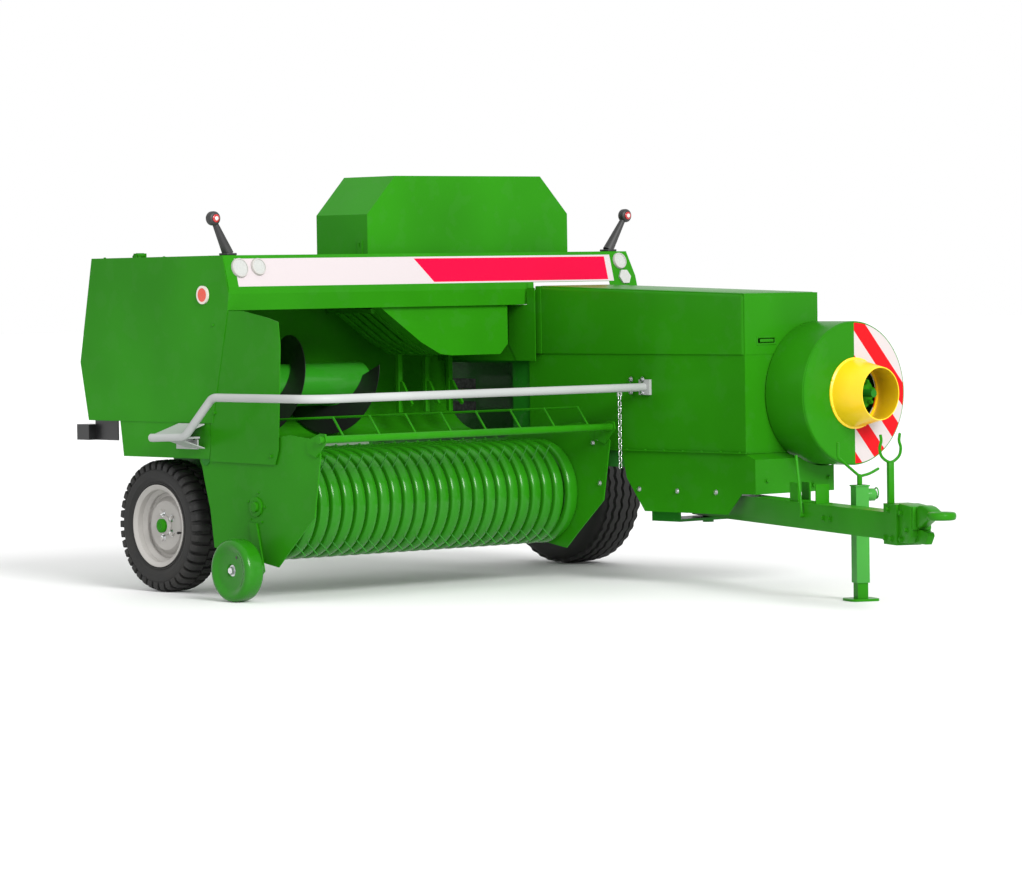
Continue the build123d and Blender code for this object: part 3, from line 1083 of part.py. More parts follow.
def wind_guard():
    """The guard over the crop: a tube across the front with rods that lie back over the pickup."""
    start_y = PICKUP_RIGHT_Y - 31
    end_y = PICKUP_LEFT_Y
    pieces = [rod((GUARD_TUBE_X, start_y, GUARD_TUBE_Z), (GUARD_TUBE_X, end_y - GAP + 2, GUARD_TUBE_Z), GUARD_TUBE_R)]
    top_x = GUARD_TUBE_X - GUARD_ROD_SETBACK
    top_z = GUARD_TUBE_Z + GUARD_ROD_RISE
    for index in range(GUARD_ROD_COUNT):
        y = GUARD_ROD_FIRST_Y + index * GUARD_ROD_PITCH
        pieces.append(rod((GUARD_TUBE_X, y, GUARD_TUBE_Z), (top_x, y, top_z), GUARD_ROD_R))
        pieces.append(Pos(top_x, y, top_z) * Sphere(GUARD_ROD_R))
        pieces.append(rod((top_x, y, top_z), (GUARD_ROD_REAR_X, y, top_z - GUARD_ROD_DROP), GUARD_ROD_R))
    return fused(pieces)


def wind_guard_lugs():
    """The lugs on the pickup's side plates that hold the wind guard's tube."""
    pieces = []
    for y in (PICKUP_RIGHT_Y - BAR, PICKUP_LEFT_Y - BAR - GAP):
        lug = prism_y([(1105, 640), (1160, 620), (GUARD_TUBE_X + 26, GUARD_TUBE_Z - 8),
                       (GUARD_TUBE_X + 18, GUARD_TUBE_Z + 24), (GUARD_TUBE_X - 18, GUARD_TUBE_Z + 26),
                       (1100, 690)], (y, y + BAR))
        lug -= rod((GUARD_TUBE_X, y - 2, GUARD_TUBE_Z), (GUARD_TUBE_X, y + BAR + 2, GUARD_TUBE_Z), GUARD_TUBE_R + RUN)
        pieces.append(lug)
    pieces.append(block((1110, 1150), (PICKUP_LEFT_Y - GAP - 1, PICKUP_LEFT_Y), (640, 680)))
    return pieces


def gauge_wheel():
    """The pressed steel gauge wheel with its dished face and hub."""
    half = GAUGE_W / 2
    t = 5.0
    r = GAUGE_R
    pin = GAUGE_PIN_R + RUN
    outline = [(pin, -20), (26, -20), (26, -8), (r * 0.5, -8), (r * 0.62, -half + 8), (r * 0.86, -half),
               (r * 0.97, -half + 12), (r, -half + 26), (r, half - 10), (r * 0.96, half), (r * 0.92, half),
               (r - t - 3, half - 10), (r - t, -half + 26), (r * 0.93, -half + 14), (r * 0.85, -half + t),
               (r * 0.65, -half + 12), (r * 0.54, -8 + t), (26, -8 + t), (26, half - 4), (pin, half - 4)]
    return revolved_y(outline, GAUGE_X, GAUGE_Y, GAUGE_R)


# Rail, lamps and small pieces


def guard_rail():
    """The grey barrier rail round the pickup, bent from one tube, with its end brackets."""
    points = [(RAIL_END_X, RAIL_RIGHT_Y, RAIL_LOW_Z - 8), (RAIL_FOOT_X, RAIL_RIGHT_Y, RAIL_LOW_Z),
              (RAIL_KNEE_X, RAIL_RIGHT_Y, RAIL_Z), (RAIL_FRONT_X, RAIL_RIGHT_Y, RAIL_Z),
              (RAIL_FRONT_X, HOOD_RIGHT_Y - 14, RAIL_Z)]
    path = FilletPolyline(points, radius=[70, 70, RAIL_CORNER_R])
    start = Plane(origin=points[0], z_dir=(Vector(*points[1]) - Vector(*points[0])))
    tube = sweep(start * Circle(RAIL_R), path=path)
    end_plate = block((RAIL_FRONT_X - 34, RAIL_FRONT_X + 34), (HOOD_RIGHT_Y - 14, HOOD_RIGHT_Y),
                      (RAIL_Z - 34, RAIL_Z + 34))
    foot = block((RAIL_END_X - 10, RAIL_END_X + 160), (RAIL_RIGHT_Y, SIDE_Y - SHEET + 3), (RAIL_LOW_Z - 13, RAIL_LOW_Z - 5))
    web = block((RAIL_END_X, RAIL_END_X + 150), (SIDE_Y - BAR + 3 - SHEET, SIDE_Y - SHEET + 3), (RAIL_LOW_Z - 60, RAIL_LOW_Z - 8))
    low_z = RAIL_Z - RAIL_R
    hook = block((RAIL_FRONT_X - 3, RAIL_FRONT_X + 3), (CHAIN_Y - 12, CHAIN_Y + 12), (low_z - 16, low_z + 1))
    hook -= block((RAIL_FRONT_X - 4, RAIL_FRONT_X + 4), (CHAIN_Y - 6, CHAIN_Y + 6), (low_z - 10, low_z - 2))
    return fused([tube, end_plate, foot, web, hook])


def marker_lamp(y, out):
    """A round lamp on a leaning rubber arm."""
    base = block((470, 530), (y - 26, y + 26), (BEAM_TOP_Z, BEAM_TOP_Z + 12))
    tip = (500, y + out * 72, BEAM_TOP_Z + 140)
    arm = Plane(origin=(500, y, BEAM_TOP_Z + 10), z_dir=Vector(0, out * 72, 130)) * Cone(
        18, 10, 150, align=(Align.CENTER, Align.CENTER, Align.MIN))
    ball = Pos(tip[0], y + out * 78, BEAM_TOP_Z + 160) * Rot(0, 90, 0) * Cylinder(32, 46)
    return fused([base, arm, ball])


def marker_lamps():
    return gathered([marker_lamp(-45, -1), marker_lamp(2190, 1)])


def beam_normal_frame(y, z, lift):
    """A plane on the beam's sloped face at height z, lifted outwards."""
    slope = (BEAM_FACE_X - BEAM_TOP_X) / (BEAM_TOP_Z - BEAM_FACE_Z)
    x = BEAM_TOP_X + slope * (BEAM_TOP_Z - z)
    normal = Vector(1, 0, slope).normalized()
    origin = Vector(x, y, z) + normal * lift
    return Plane(origin=origin, x_dir=(0, 1, 0), z_dir=normal)


def reflectors():
    """Round reflectors on the beam and on its left wing."""
    pieces = []
    for y, z, radius in ((-31, 1425, 39), (72, 1429, 34), (2205, 1436, 34)):
        pieces.append(beam_normal_frame(y, z, 0) * Cylinder(radius, 9, align=(Align.CENTER, Align.CENTER, Align.MIN)))
    hexagon = extrude(RegularPolygon(36, 6), amount=9)
    pieces.append(beam_normal_frame(2218, 1362, 0) * hexagon)
    side = rod((407, SIDE_Y - SHEET, 1311), (407, SIDE_Y - SHEET - 9, 1311), 40)
    pieces.append(side)
    return gathered(pieces)


def tail_lamp(y, out):
    """A rear lamp box on its bracket under the twine compartment."""
    bracket = block((-470, -300), (y - 3, y + 3), (BODY_BOTTOM_Z - 90, BODY_BOTTOM_Z))
    lamp = block((-560, -470), (y - 40, y + 40), (BODY_BOTTOM_Z - 90, BODY_BOTTOM_Z - 20))
    return bracket + lamp


def tail_lamps():
    return gathered([tail_lamp(-60, -1), tail_lamp(1540, 1)])


def pickup_chain():
    """The chain that hangs from the rail's left end, ready to hold the pickup up."""
    wire = LINK_WIRE
    ring = SlotOverall(LINK_LENGTH, LINK_WIDTH, rotation=90)
    ring -= SlotOverall(LINK_LENGTH - 2 * wire, LINK_WIDTH - 2 * wire, rotation=90)
    link = extrude(ring, amount=wire / 2, both=True)
    step = LINK_LENGTH - 2 * wire - 2 * SEAT
    top_z = RAIL_Z - RAIL_R - 3 - LINK_LENGTH / 2
    links = []
    for index in range(LINK_COUNT):
        turn = 90 * (index % 2)
        links.append(Pos(RAIL_FRONT_X, CHAIN_Y, top_z - index * step) * Rot(0, 0, turn) * Rot(90, 0, 0) * link)
    return gathered(links)


# Drawbar


def along(reach, offset, z):
    """A point on the swung drawbar: reach from its pivot, offset to the left, height z."""
    turn = math.radians(-SWING)
    x = DRAWBAR_PIVOT_X + reach * math.cos(turn) - offset * math.sin(turn)
    y = DRAWBAR_PIVOT_Y + reach * math.sin(turn) + offset * math.cos(turn)
    return (x, y, z)


def swung(piece):
    """Turns a piece built straight ahead of the origin into the drawbar's place."""
    return Pos(DRAWBAR_PIVOT_X, DRAWBAR_PIVOT_Y, 0) * Rot(0, 0, -SWING) * piece


def drawbar():
    """The hollow drawbar with its pivot bush, front flange box and jack clamp."""
    half = DRAWBAR_WIDTH / 2
    z = (DRAWBAR_BOTTOM_Z, DRAWBAR_BOTTOM_Z + DRAWBAR_HEIGHT)
    body = tube_box((-DRAWBAR_TAIL, DRAWBAR_LENGTH), (-half, half), z, DRAWBAR_WALL, "x")
    bush = rod((0, 0, z[0]), (0, 0, z[1]), PIVOT_PIN_R + 16)
    hole = rod((0, 0, z[0] - 5), (0, 0, z[1] + 5), PIVOT_PIN_R + RUN)
    flange = block((DRAWBAR_LENGTH - 1, DRAWBAR_LENGTH + FLANGE_LENGTH), (-half - 4, half + 4),
                   (z[0] - 18, z[1] + 36))
    clamp_y = (half - 1, JACK_OFFSET - JACK_SIDE / 2)
    clamp = block((JACK_REACH - 50, JACK_REACH + 50), clamp_y, (z[0] + 10, z[1] - 10))
    top = z[1]
    lever_y = -half - 8
    lever = [rod((1200, lever_y, 600), (1260, lever_y, 350), 6), rod((1260, lever_y - 12, 350), (1260, -half, 350), 10)]
    bracket = block((1080, 1170), (-40, 20), (top, top + 80)) - block((1079, 1171), (-34, 14), (top + 6, top + 81))
    tab = block((1340, 1348), (-30, 30), (top, top + 80))
    return swung(fused([body + bush - hole, flange, clamp, bracket, tab] + lever))


def hitch_eye():
    """The forged eye on its shank, with the bracket that holds it."""
    start = DRAWBAR_LENGTH + FLANGE_LENGTH
    bracket = block((start, start + 110), (-30, 30), (EYE_Z - 38, EYE_Z + 38))
    shank = rod((start + 100, 0, EYE_Z), (EYE_REACH - EYE_R + 14, 0, EYE_Z), 21)
    ring = Pos(EYE_REACH, 0, EYE_Z) * Cylinder(EYE_R, EYE_THICK)
    ring = fillet(ring.edges().filter_by(GeomType.CIRCLE), 9)
    bore = rod((EYE_REACH, 0, EYE_Z - 40), (EYE_REACH, 0, EYE_Z + 40), EYE_BORE_R)
    lower = prism_y([(start, EYE_Z - 37), (start + 90, EYE_Z - 37), (start + 70, EYE_Z - 120), (start, EYE_Z - 120)],
                    (-24, 24))
    return swung(fused([bracket, shank, ring, lower]) - bore)


def jack_tube():
    """The jack's fixed outer tube with its head."""
    half = JACK_SIDE / 2
    x = (JACK_REACH - half, JACK_REACH + half)
    y = (JACK_OFFSET - half, JACK_OFFSET + half)
    tube = tube_box(x, y, (JACK_BOTTOM_Z, JACK_TOP_Z), JACK_WALL, "z")
    cap = block(x, y, (JACK_TOP_Z - 1, JACK_TOP_Z + 8))
    crank = rod((JACK_REACH, JACK_OFFSET + half - 1, JACK_TOP_Z - 25), (JACK_REACH, JACK_OFFSET + half + 45, JACK_TOP_Z - 25), 8)
    return swung(fused([tube, cap, crank]))


def jack_leg():
    """The jack's sliding inner tube with its round foot."""
    half = JACK_SIDE / 2 - JACK_WALL - 0.5
    x = (JACK_REACH - half, JACK_REACH + half)
    y = (JACK_OFFSET - half, JACK_OFFSET + half)
    leg = tube_box(x, y, (FOOT_THICK - 1, JACK_TOP_Z - 75), 4, "z")
    foot = block((JACK_REACH - FOOT_LENGTH / 2, JACK_REACH + FOOT_LENGTH / 2),
                 (JACK_OFFSET - FOOT_LENGTH / 2, JACK_OFFSET + FOOT_LENGTH / 2), (0, FOOT_THICK))
    return swung(leg + fillet(foot.edges().filter_by(Axis.Z), 30))


def hose_forks():
    """The driveline rest on the drawbar's front and the hose holder on the jack."""
    top = DRAWBAR_BOTTOM_Z + DRAWBAR_HEIGHT
    rest_x = DRAWBAR_LENGTH + 30
    base_z = top + 36
    pieces = [rod((rest_x, -30, base_z), (rest_x, -30, 590), 7)]
    u_points = [(rest_x, -70, 712), (rest_x, -64, 640), (rest_x, -30, 592), (rest_x, 4, 640), (rest_x, 10, 712)]
    for start, end in zip(u_points, u_points[1:]):
        pieces.append(rod(start, end, 6))
        pieces.append(Pos(*end) * Sphere(6))
    holder_x = JACK_REACH
    post_z = JACK_TOP_Z + 8
    pieces.append(rod((holder_x, JACK_OFFSET, post_z), (holder_x, JACK_OFFSET, 520), 8))
    y_points = [(holder_x, JACK_OFFSET - 95, 660), (holder_x, JACK_OFFSET - 93, 600), (holder_x, JACK_OFFSET, 520),
                (holder_x, JACK_OFFSET + 80, 552)]
    for start, end in zip(y_points, y_points[1:]):
        pieces.append(rod(start, end, 6))
        pieces.append(Pos(*end) * Sphere(6))
    return swung(fused(pieces))


# Chute


def bale_chute():
    """The sheet that lowers the bales, hinged at the chamber's rear edge."""
    half = CHAMBER_INSIDE_W / 2 + CHAMBER_WALL + HOOP_DEPTH + 8
    y = (CHAMBER_MID_Y - half, CHAMBER_MID_Y + half)
    floor = block((-CHUTE_LENGTH, -26), y, (0, SHEET + 1))
    lips = [block((-CHUTE_LENGTH, -26), (y[0], y[0] + SHEET), (0, CHUTE_LIP)),
            block((-CHUTE_LENGTH, -26), (y[1] - SHEET, y[1]), (0, CHUTE_LIP))]
    knuckles = []
    for offset in (-160, 160):
        mid = CHAMBER_MID_Y + offset
        tab = block((-40, 0), (mid - 30, mid + 30), (-3, 3))
        eye = rod((0, mid - 30, 0), (0, mid + 30, 0), CHUTE_PIN_R + 6)
        knuckles.append(tab + eye - rod((0, mid - 35, 0), (0, mid + 35, 0), CHUTE_PIN_R + RUN))
    whole = fused([floor] + lips + knuckles)
    return Pos(CHUTE_HINGE_X, 0, CHUTE_HINGE_Z) * Rot(0, -CHUTE_SLOPE, 0) * whole


def chute_hinge():
    """Pins and lugs under the chamber's rear edge that carry the chute."""
    pieces = []
    for offset in (-160, 160):
        mid = CHAMBER_MID_Y + offset
        pieces.append(rod((CHUTE_HINGE_X, mid - 48, CHUTE_HINGE_Z), (CHUTE_HINGE_X, mid + 48, CHUTE_HINGE_Z), CHUTE_PIN_R))
        for side in (-1, 1):
            centre = mid + side * 41
            pieces.append(prism_y([(CHUTE_HINGE_X - 12, CHUTE_HINGE_Z - 12), (CHUTE_HINGE_X + 12, CHUTE_HINGE_Z - 12),
                                   (CHAMBER_REAR_X + 60, CHAMBER_BOTTOM_Z - 6), (CHAMBER_REAR_X + 60, CHAMBER_BOTTOM_Z),
                                   (CHAMBER_REAR_X, CHAMBER_BOTTOM_Z), (CHUTE_HINGE_X - 12, CHUTE_HINGE_Z + 12)],
                                  (centre - 4, centre + 4)))
    return fused(pieces)


def centre_offset():
    """The middle of the machine's length and width, in the layout's own coordinates."""
    slope = math.radians(CHUTE_SLOPE)
    rear = CHUTE_HINGE_X - CHUTE_LENGTH * math.cos(slope) - CHUTE_LIP * math.sin(slope)
    front = along(EYE_REACH + EYE_R, 0, 0)[0]
    right = GAUGE_Y - GAUGE_W / 2
    left = TRACK + LEFT_TYRE_W / 2
    return ((rear + front) / 2, (right + left) / 2)


NODES = {
    "axle": axle,
    "chassis_frame": chassis,
    "bale_chamber": bale_chamber,
    "chamber_tension": chamber_tension,
    "knotters": knotters,
    "needle_yoke": needle_yoke,
    "side_panel": side_panel,
    "side_shield": side_shield,
    "front_beam": front_beam,
    "twine_box": twine_box,
    "divider_wall": divider_wall,
    "feed_trough": feed_trough,
    "feeder_cover": feeder_cover,
    "feeder_forks": feeder_forks,
    "hood_side": hood_side,
    "hood_skirt": hood_skirt,
    "gearbox": gearbox,
    "flywheel_guard": flywheel_guard,
    "shaft_cone": shaft_cone,
    "guard_rail": guard_rail,
    "marker_lamps": marker_lamps,
    "reflectors": reflectors,
    "tail_lamps": tail_lamps,
    "pickup_chain": pickup_chain,
    "twine_door": twine_door,
    "top_cover": top_cover,
    "hood_cover": hood_cover,
    "input_shaft": input_shaft,
    "auger": auger,
    "pickup_frame": pickup_frame,
    "stripper_bands": stripper_bands,
    "tine_reel": tine_reel,
    "wind_guard": wind_guard,
    "gauge_wheel": gauge_wheel,
    "right_rim": lambda: rim(RIGHT_RIM_R, RIGHT_RIM_W, 0, RIGHT_TYRE_R, -1),
    "right_tyre": right_tyre,
    "left_rim": lambda: rim(LEFT_RIM_R, LEFT_RIM_W, TRACK, LEFT_TYRE_R, 1),
    "left_tyre": left_tyre,
    "drawbar": drawbar,
    "hitch_eye": hitch_eye,
    "jack_tube": jack_tube,
    "hose_forks": hose_forks,
    "jack_leg": jack_leg,
    "bale_chute": bale_chute,
}


def place(shape):
    """Moves a piece so that the origin lies on the ground under the middle of the machine."""
    middle = centre_offset()
    return Pos(-middle[0], -middle[1], 0) * shape


def main():
    for name, make in NODES.items():
        export_step(place(make()), f"parts/{name}.step")


main()
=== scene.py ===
"""Studio scene of a parked square baler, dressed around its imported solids."""

import logging
import math
from dataclasses import dataclass, field
from enum import Enum
from typing import Callable

import bpy
from mathutils import Matrix, Vector


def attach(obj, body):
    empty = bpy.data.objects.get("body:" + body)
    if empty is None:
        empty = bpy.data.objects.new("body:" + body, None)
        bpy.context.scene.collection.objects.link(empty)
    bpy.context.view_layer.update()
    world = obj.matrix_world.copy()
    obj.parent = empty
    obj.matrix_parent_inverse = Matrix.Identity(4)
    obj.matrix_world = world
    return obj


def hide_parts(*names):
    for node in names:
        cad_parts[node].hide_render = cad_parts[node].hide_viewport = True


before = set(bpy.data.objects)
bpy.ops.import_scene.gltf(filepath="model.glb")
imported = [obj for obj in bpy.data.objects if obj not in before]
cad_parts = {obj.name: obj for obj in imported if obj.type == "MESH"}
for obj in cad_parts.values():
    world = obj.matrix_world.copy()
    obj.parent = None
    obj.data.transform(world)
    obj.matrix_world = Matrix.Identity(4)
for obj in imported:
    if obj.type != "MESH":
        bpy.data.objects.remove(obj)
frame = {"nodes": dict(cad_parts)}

logging.basicConfig(level=logging.INFO, format="%(message)s")
log = logging.getLogger("baler")

Point = tuple[float, float, float]
Colour = tuple[float, float, float]
Piece = bpy.types.Object
Socket = bpy.types.NodeSocket
Material = bpy.types.Material

LAYOUT_X = -1.128138
LAYOUT_Y = -1.1285


def at(x: float, y: float, z: float) -> Point:
    """Turns millimetres of the machine's layout into metres of the shared frame."""
    return (x / 1000 + LAYOUT_X, y / 1000 + LAYOUT_Y, z / 1000)


class Facing(Enum):
    """The way that a fastener's head or a plate's face looks."""

    RIGHT = (0.0, -1.0, 0.0)
    LEFT = (0.0, 1.0, 0.0)
    FRONT = (1.0, 0.0, 0.0)
    REAR = (-1.0, 0.0, 0.0)
    UP = (0.0, 0.0, 1.0)
    DOWN = (0.0, 0.0, -1.0)


RIGHT, LEFT, FRONT, REAR, UP, DOWN = (facing.value for facing in Facing)
ORIGIN = (0.0, 0.0, 0.0)


class Nodes:
    """A material's node tree, with short calls that add and join its nodes."""

    def __init__(self, name: str) -> None:
        """Makes a fresh material with only its output and its shader."""
        self.material = bpy.data.materials.new(name)
        self.material.use_nodes = True
        self.tree = self.material.node_tree
        self.shader = self.tree.nodes["Principled BSDF"]
        self.place = self.tree.nodes.new("ShaderNodeTexCoord").outputs["Object"]

    def add(self, kind: str, **settings: object) -> bpy.types.Node:
        """Adds a node and sets its plain properties."""
        node = self.tree.nodes.new(kind)
        for key, value in settings.items():
            setattr(node, key, value)
        return node

    def join(self, source: Socket, target: Socket) -> None:
        """Links one socket to another."""
        self.tree.links.new(source, target)

    def math(self, operation: str, *values: object) -> Socket:
        """Adds a math node over sockets or numbers."""
        node = self.add("ShaderNodeMath", operation=operation)
        for index, value in enumerate(values):
            if isinstance(value, (int, float)):
                node.inputs[index].default_value = value
            else:
                self.join(value, node.inputs[index])
        return node.outputs[0]

    def noise(self, scale: float, detail: float = 3.0, rough: float = 0.5) -> Socket:
        """Adds noise over the object's place."""
        node = self.add("ShaderNodeTexNoise")
        node.inputs["Scale"].default_value = scale
        node.inputs["Detail"].default_value = detail
        node.inputs["Roughness"].default_value = rough
        self.join(self.place, node.inputs["Vector"])
        return node.outputs["Fac"]

    def ramp(self, factor: Socket, stops: list[tuple[float, Colour]]) -> Socket:
        """Adds a colour ramp."""
        node = self.add("ShaderNodeValToRGB")
        points = node.color_ramp.elements
        while len(points) < len(stops):
            points.new(0.5)
        for point, (place, colour) in zip(points, stops):
            point.position = place
            point.color = (*colour, 1.0)
        self.join(factor, node.inputs["Fac"])
        return node.outputs["Color"]

    def mix(self, factor: Socket, low: object, high: object) -> Socket:
        """Mixes two colours."""
        node = self.add("ShaderNodeMix", data_type="RGBA")
        self.join(factor, node.inputs["Factor"])
        for key, value in (("A", low), ("B", high)):
            socket = [s for s in node.inputs if s.name == key and s.type == "RGBA"][0]
            if isinstance(value, tuple):
                socket.default_value = (*value, 1.0)
            else:
                self.join(value, socket)
        return [s for s in node.outputs if s.type == "RGBA"][0]

    def span(self, value: Socket, low: float, high: float) -> Socket:
        """Spreads a 0 to 1 value over another range."""
        node = self.add("ShaderNodeMapRange")
        node.inputs["To Min"].default_value = low
        node.inputs["To Max"].default_value = high
        self.join(value, node.inputs["Value"])
        return node.outputs["Result"]

    def bump(self, height: Socket, depth: float) -> None:
        """Raises the surface by a height of about 0 to 1, times a depth in metres."""
        node = self.add("ShaderNodeBump")
        node.inputs["Distance"].default_value = depth
        self.join(height, node.inputs["Height"])
        self.feed("Normal", node.outputs["Normal"])

    def feed(self, name: str, value: Socket | float) -> None:
        """Sets an input of the shader to a number, or joins a socket to it."""
        if isinstance(value, float):
            self.shader.inputs[name].default_value = value
        else:
            self.join(value, self.shader.inputs[name])

    def reach(self, first: Socket, second: Socket) -> Socket:
        """Gives the distance whose two crossed parts are known."""
        squares = [self.math("MULTIPLY", value, value) for value in (first, second)]
        return self.math("SQRT", self.math("ADD", *squares))

    def split(self) -> tuple[Socket, Socket, Socket]:
        """Gives the object's place as X, Y and Z."""
        node = self.add("ShaderNodeSeparateXYZ")
        self.join(self.place, node.inputs[0])
        return node.outputs[0], node.outputs[1], node.outputs[2]

    def inside(self, value: Socket, low: float, high: float) -> Socket:
        """Gives 1 where a value lies between two limits and 0 elsewhere."""
        return self.math("MULTIPLY", self.math("GREATER_THAN", value, low), self.math("LESS_THAN", value, high))


@dataclass(frozen=True)
class Paint:
    """Sprayed paint: a slight orange peel, faint colour drift and a film of dust in random patches."""

    name: str
    colour: Colour
    rough: float = 0.30
    coat: float = 0.02
    dust: float = 0.03
    gloss: float = 0.06
    darkest: float = 0.86
    lightest: float = 1.12
    grime_from: float = 0.56
    peel: float = 0.00012

    def lay(self, nodes: Nodes, colour: Socket) -> Socket:
        """Gives the colour with the printed fields or the painted shade of this kind of paint over it; plain paint has
        none.
        """
        return colour

    def build(self) -> Material:
        """Makes the paint's material."""
        nodes = Nodes(self.name)
        drift = nodes.noise(1.7, 2.0)
        dark = tuple(c * self.darkest for c in self.colour)
        light = tuple(min(1.0, c * self.lightest) for c in self.colour)
        colour = nodes.ramp(drift, [(0.3, dark), (0.7, light)])
        grime = nodes.noise(9.0, 6.0, 0.62)
        film = nodes.math("MULTIPLY", nodes.math("GREATER_THAN", grime, self.grime_from), self.dust)
        dusty = nodes.mix(film, colour, tuple(c * 0.6 + 0.10 for c in self.colour))
        nodes.feed("Roughness", nodes.span(grime, self.rough * 0.8, self.rough * 1.35))
        nodes.feed("Coat Weight", self.coat)
        nodes.feed("Coat Roughness", 0.08)
        nodes.feed("Specular IOR Level", self.gloss)
        nodes.bump(nodes.noise(420.0, 2.0), self.peel)
        nodes.feed("Base Color", self.lay(nodes, dusty))
        return nodes.material


@dataclass(frozen=True)
class BeamPaint(Paint):
    """The beam's green paint with its white strip and the red field with slanted end."""

    white: Colour = (0.48, 0.43, 0.44)
    red: Colour = (0.56, 0.001, 0.036)
    strip_y: tuple[float, float] = (-0.052, 2.150)
    strip_z: tuple[float, float] = (1.345, 1.466)
    red_y: tuple[float, float] = (0.98, 2.115)
    slant: float = 0.9
    slant_from: float = 0.077
    red_z: tuple[float, float] = (1.352, 1.458)
    turned_front: float = 0.2

    def lay(self, nodes: Nodes, colour: Socket) -> Socket:
        """Gives the colour with this paint's own fields over it."""
        _, y, z = nodes.split()
        strip_y = nodes.inside(y, *(end + LAYOUT_Y for end in self.strip_y))
        strip = nodes.math("MULTIPLY", strip_y, nodes.inside(z, *self.strip_z))
        edge = nodes.math("ADD", y, nodes.math("MULTIPLY", nodes.math("SUBTRACT", z, self.red_z[0]), self.slant))
        low, high = (end + LAYOUT_Y for end in self.red_y)
        field_y = nodes.math("MULTIPLY", nodes.math("GREATER_THAN", edge, low + self.slant_from),
                             nodes.math("LESS_THAN", y, high))
        red = nodes.math("MULTIPLY", field_y, nodes.inside(z, *self.red_z))
        facing = nodes.add("ShaderNodeSeparateXYZ")
        nodes.join(nodes.add("ShaderNodeTexCoord").outputs["Normal"], facing.inputs[0])
        front = nodes.math("GREATER_THAN", facing.outputs["X"], self.turned_front)
        striped = nodes.mix(nodes.math("MULTIPLY", strip, front), colour, self.white)
        return nodes.mix(nodes.math("MULTIPLY", red, front), striped, self.red)


@dataclass(frozen=True)
class GuardPaint(Paint):
    """The flywheel guard's green paint, with red and white slanted bars over its left front half."""

    white: Colour = (0.47, 0.43, 0.43)
    red: Colour = (0.52, 0.006, 0.010)
    front_x: float = 2.2105
    middle_y: float = 2.063
    middle_z: float = 0.842
    pitch: float = 0.211
    slope: float = 1.12
    first: float = 0.114

    def lay(self, nodes: Nodes, colour: Socket) -> Socket:
        """Gives the colour with this paint's own fields over it."""
        x, y, z = nodes.split()
        front = nodes.math("GREATER_THAN", x, self.front_x + LAYOUT_X)
        across = nodes.math("SUBTRACT", y, self.middle_y + LAYOUT_Y)
        up = nodes.math("SUBTRACT", z, self.middle_z)
        half = nodes.math("MULTIPLY", front, nodes.math("GREATER_THAN", across, 0.0))
        slanted = nodes.math("ADD", nodes.math("MULTIPLY", across, self.slope), up)
        start = 10.0 * self.pitch + self.pitch / 4 - self.first
        turns = nodes.math("FRACT", nodes.math("DIVIDE", nodes.math("ADD", slanted, start), self.pitch))
        sheet = nodes.mix(nodes.math("LESS_THAN", turns, 0.5), self.white, self.red)
        return nodes.mix(half, colour, sheet)


@dataclass(frozen=True)
class FlightPaint(Paint):
    """Paint on a turning core, near black beyond a radius of its axis: painted shade on the flight."""

    # The flight's near-black colour is painted shade.
    flight_painted_shade: Colour = (0.010, 0.012, 0.010)
    axis_x: float = 0.200
    axis_z: float = 0.900
    core: float = 0.099

    def lay(self, nodes: Nodes, colour: Socket) -> Socket:
        """Gives the colour with this paint's own fields over it."""
        x, _, z = nodes.split()
        across = nodes.math("SUBTRACT", x, self.axis_x + LAYOUT_X)
        up = nodes.math("SUBTRACT", z, self.axis_z)
        # Beyond the core's radius the flight takes the painted shade.
        outer = nodes.math("GREATER_THAN", nodes.reach(across, up), self.core)
        return nodes.mix(outer, colour, self.flight_painted_shade)


@dataclass(frozen=True)
class Metal:
    """Bare, plated or cast metal with fine scratches and a little tarnish."""

    name: str
    colour: Colour
    tarnish: Colour
    rough: float = 0.35
    grain: float = 60.0

    def build(self) -> Material:
        """Makes the material."""
        nodes = Nodes(self.name)
        spots = nodes.noise(self.grain, 5.0, 0.6)
        colour = nodes.ramp(spots, [(0.35, self.tarnish), (0.62, self.colour)])
        nodes.feed("Base Color", colour)
        nodes.feed("Roughness", nodes.span(spots, self.rough * 1.5, self.rough * 0.7))
        nodes.feed("Metallic", 1.0)
        nodes.bump(nodes.noise(600.0, 3.0), 0.00008)
        return nodes.material


@dataclass(frozen=True)
class Rubber:
    """Black rubber with a dusty bloom and fine moulding grain."""

    name: str
    colour: Colour = (0.006, 0.006, 0.006)
    bloom: Colour = (0.016, 0.015, 0.013)
    rough: float = 0.72

    def build(self) -> Material:
        """Makes the material."""
        nodes = Nodes(self.name)
        patches = nodes.noise(7.0, 6.0, 0.65)
        nodes.feed("Base Color", nodes.ramp(patches, [(0.38, self.colour), (0.75, self.bloom)]))
        nodes.feed("Roughness", nodes.span(patches, self.rough * 0.8, self.rough * 1.2))
        nodes.bump(nodes.noise(350.0, 3.0), 0.0002)
        return nodes.material


@dataclass(frozen=True)
class Plastic:
    """Moulded plastic, slightly uneven."""

    name: str
    colour: Colour
    rough: float = 0.35
    grain: float = 250.0

    def build(self) -> Material:
        """Makes the material."""
        nodes = Nodes(self.name)
        drift = nodes.noise(5.0, 4.0)
        dark = tuple(c * 0.88 for c in self.colour)
        nodes.feed("Base Color", nodes.ramp(drift, [(0.35, dark), (0.65, self.colour)]))
        nodes.feed("Roughness", nodes.span(drift, self.rough * 1.2, self.rough * 0.85))
        nodes.bump(nodes.noise(self.grain, 2.0), 0.0001)
        return nodes.material


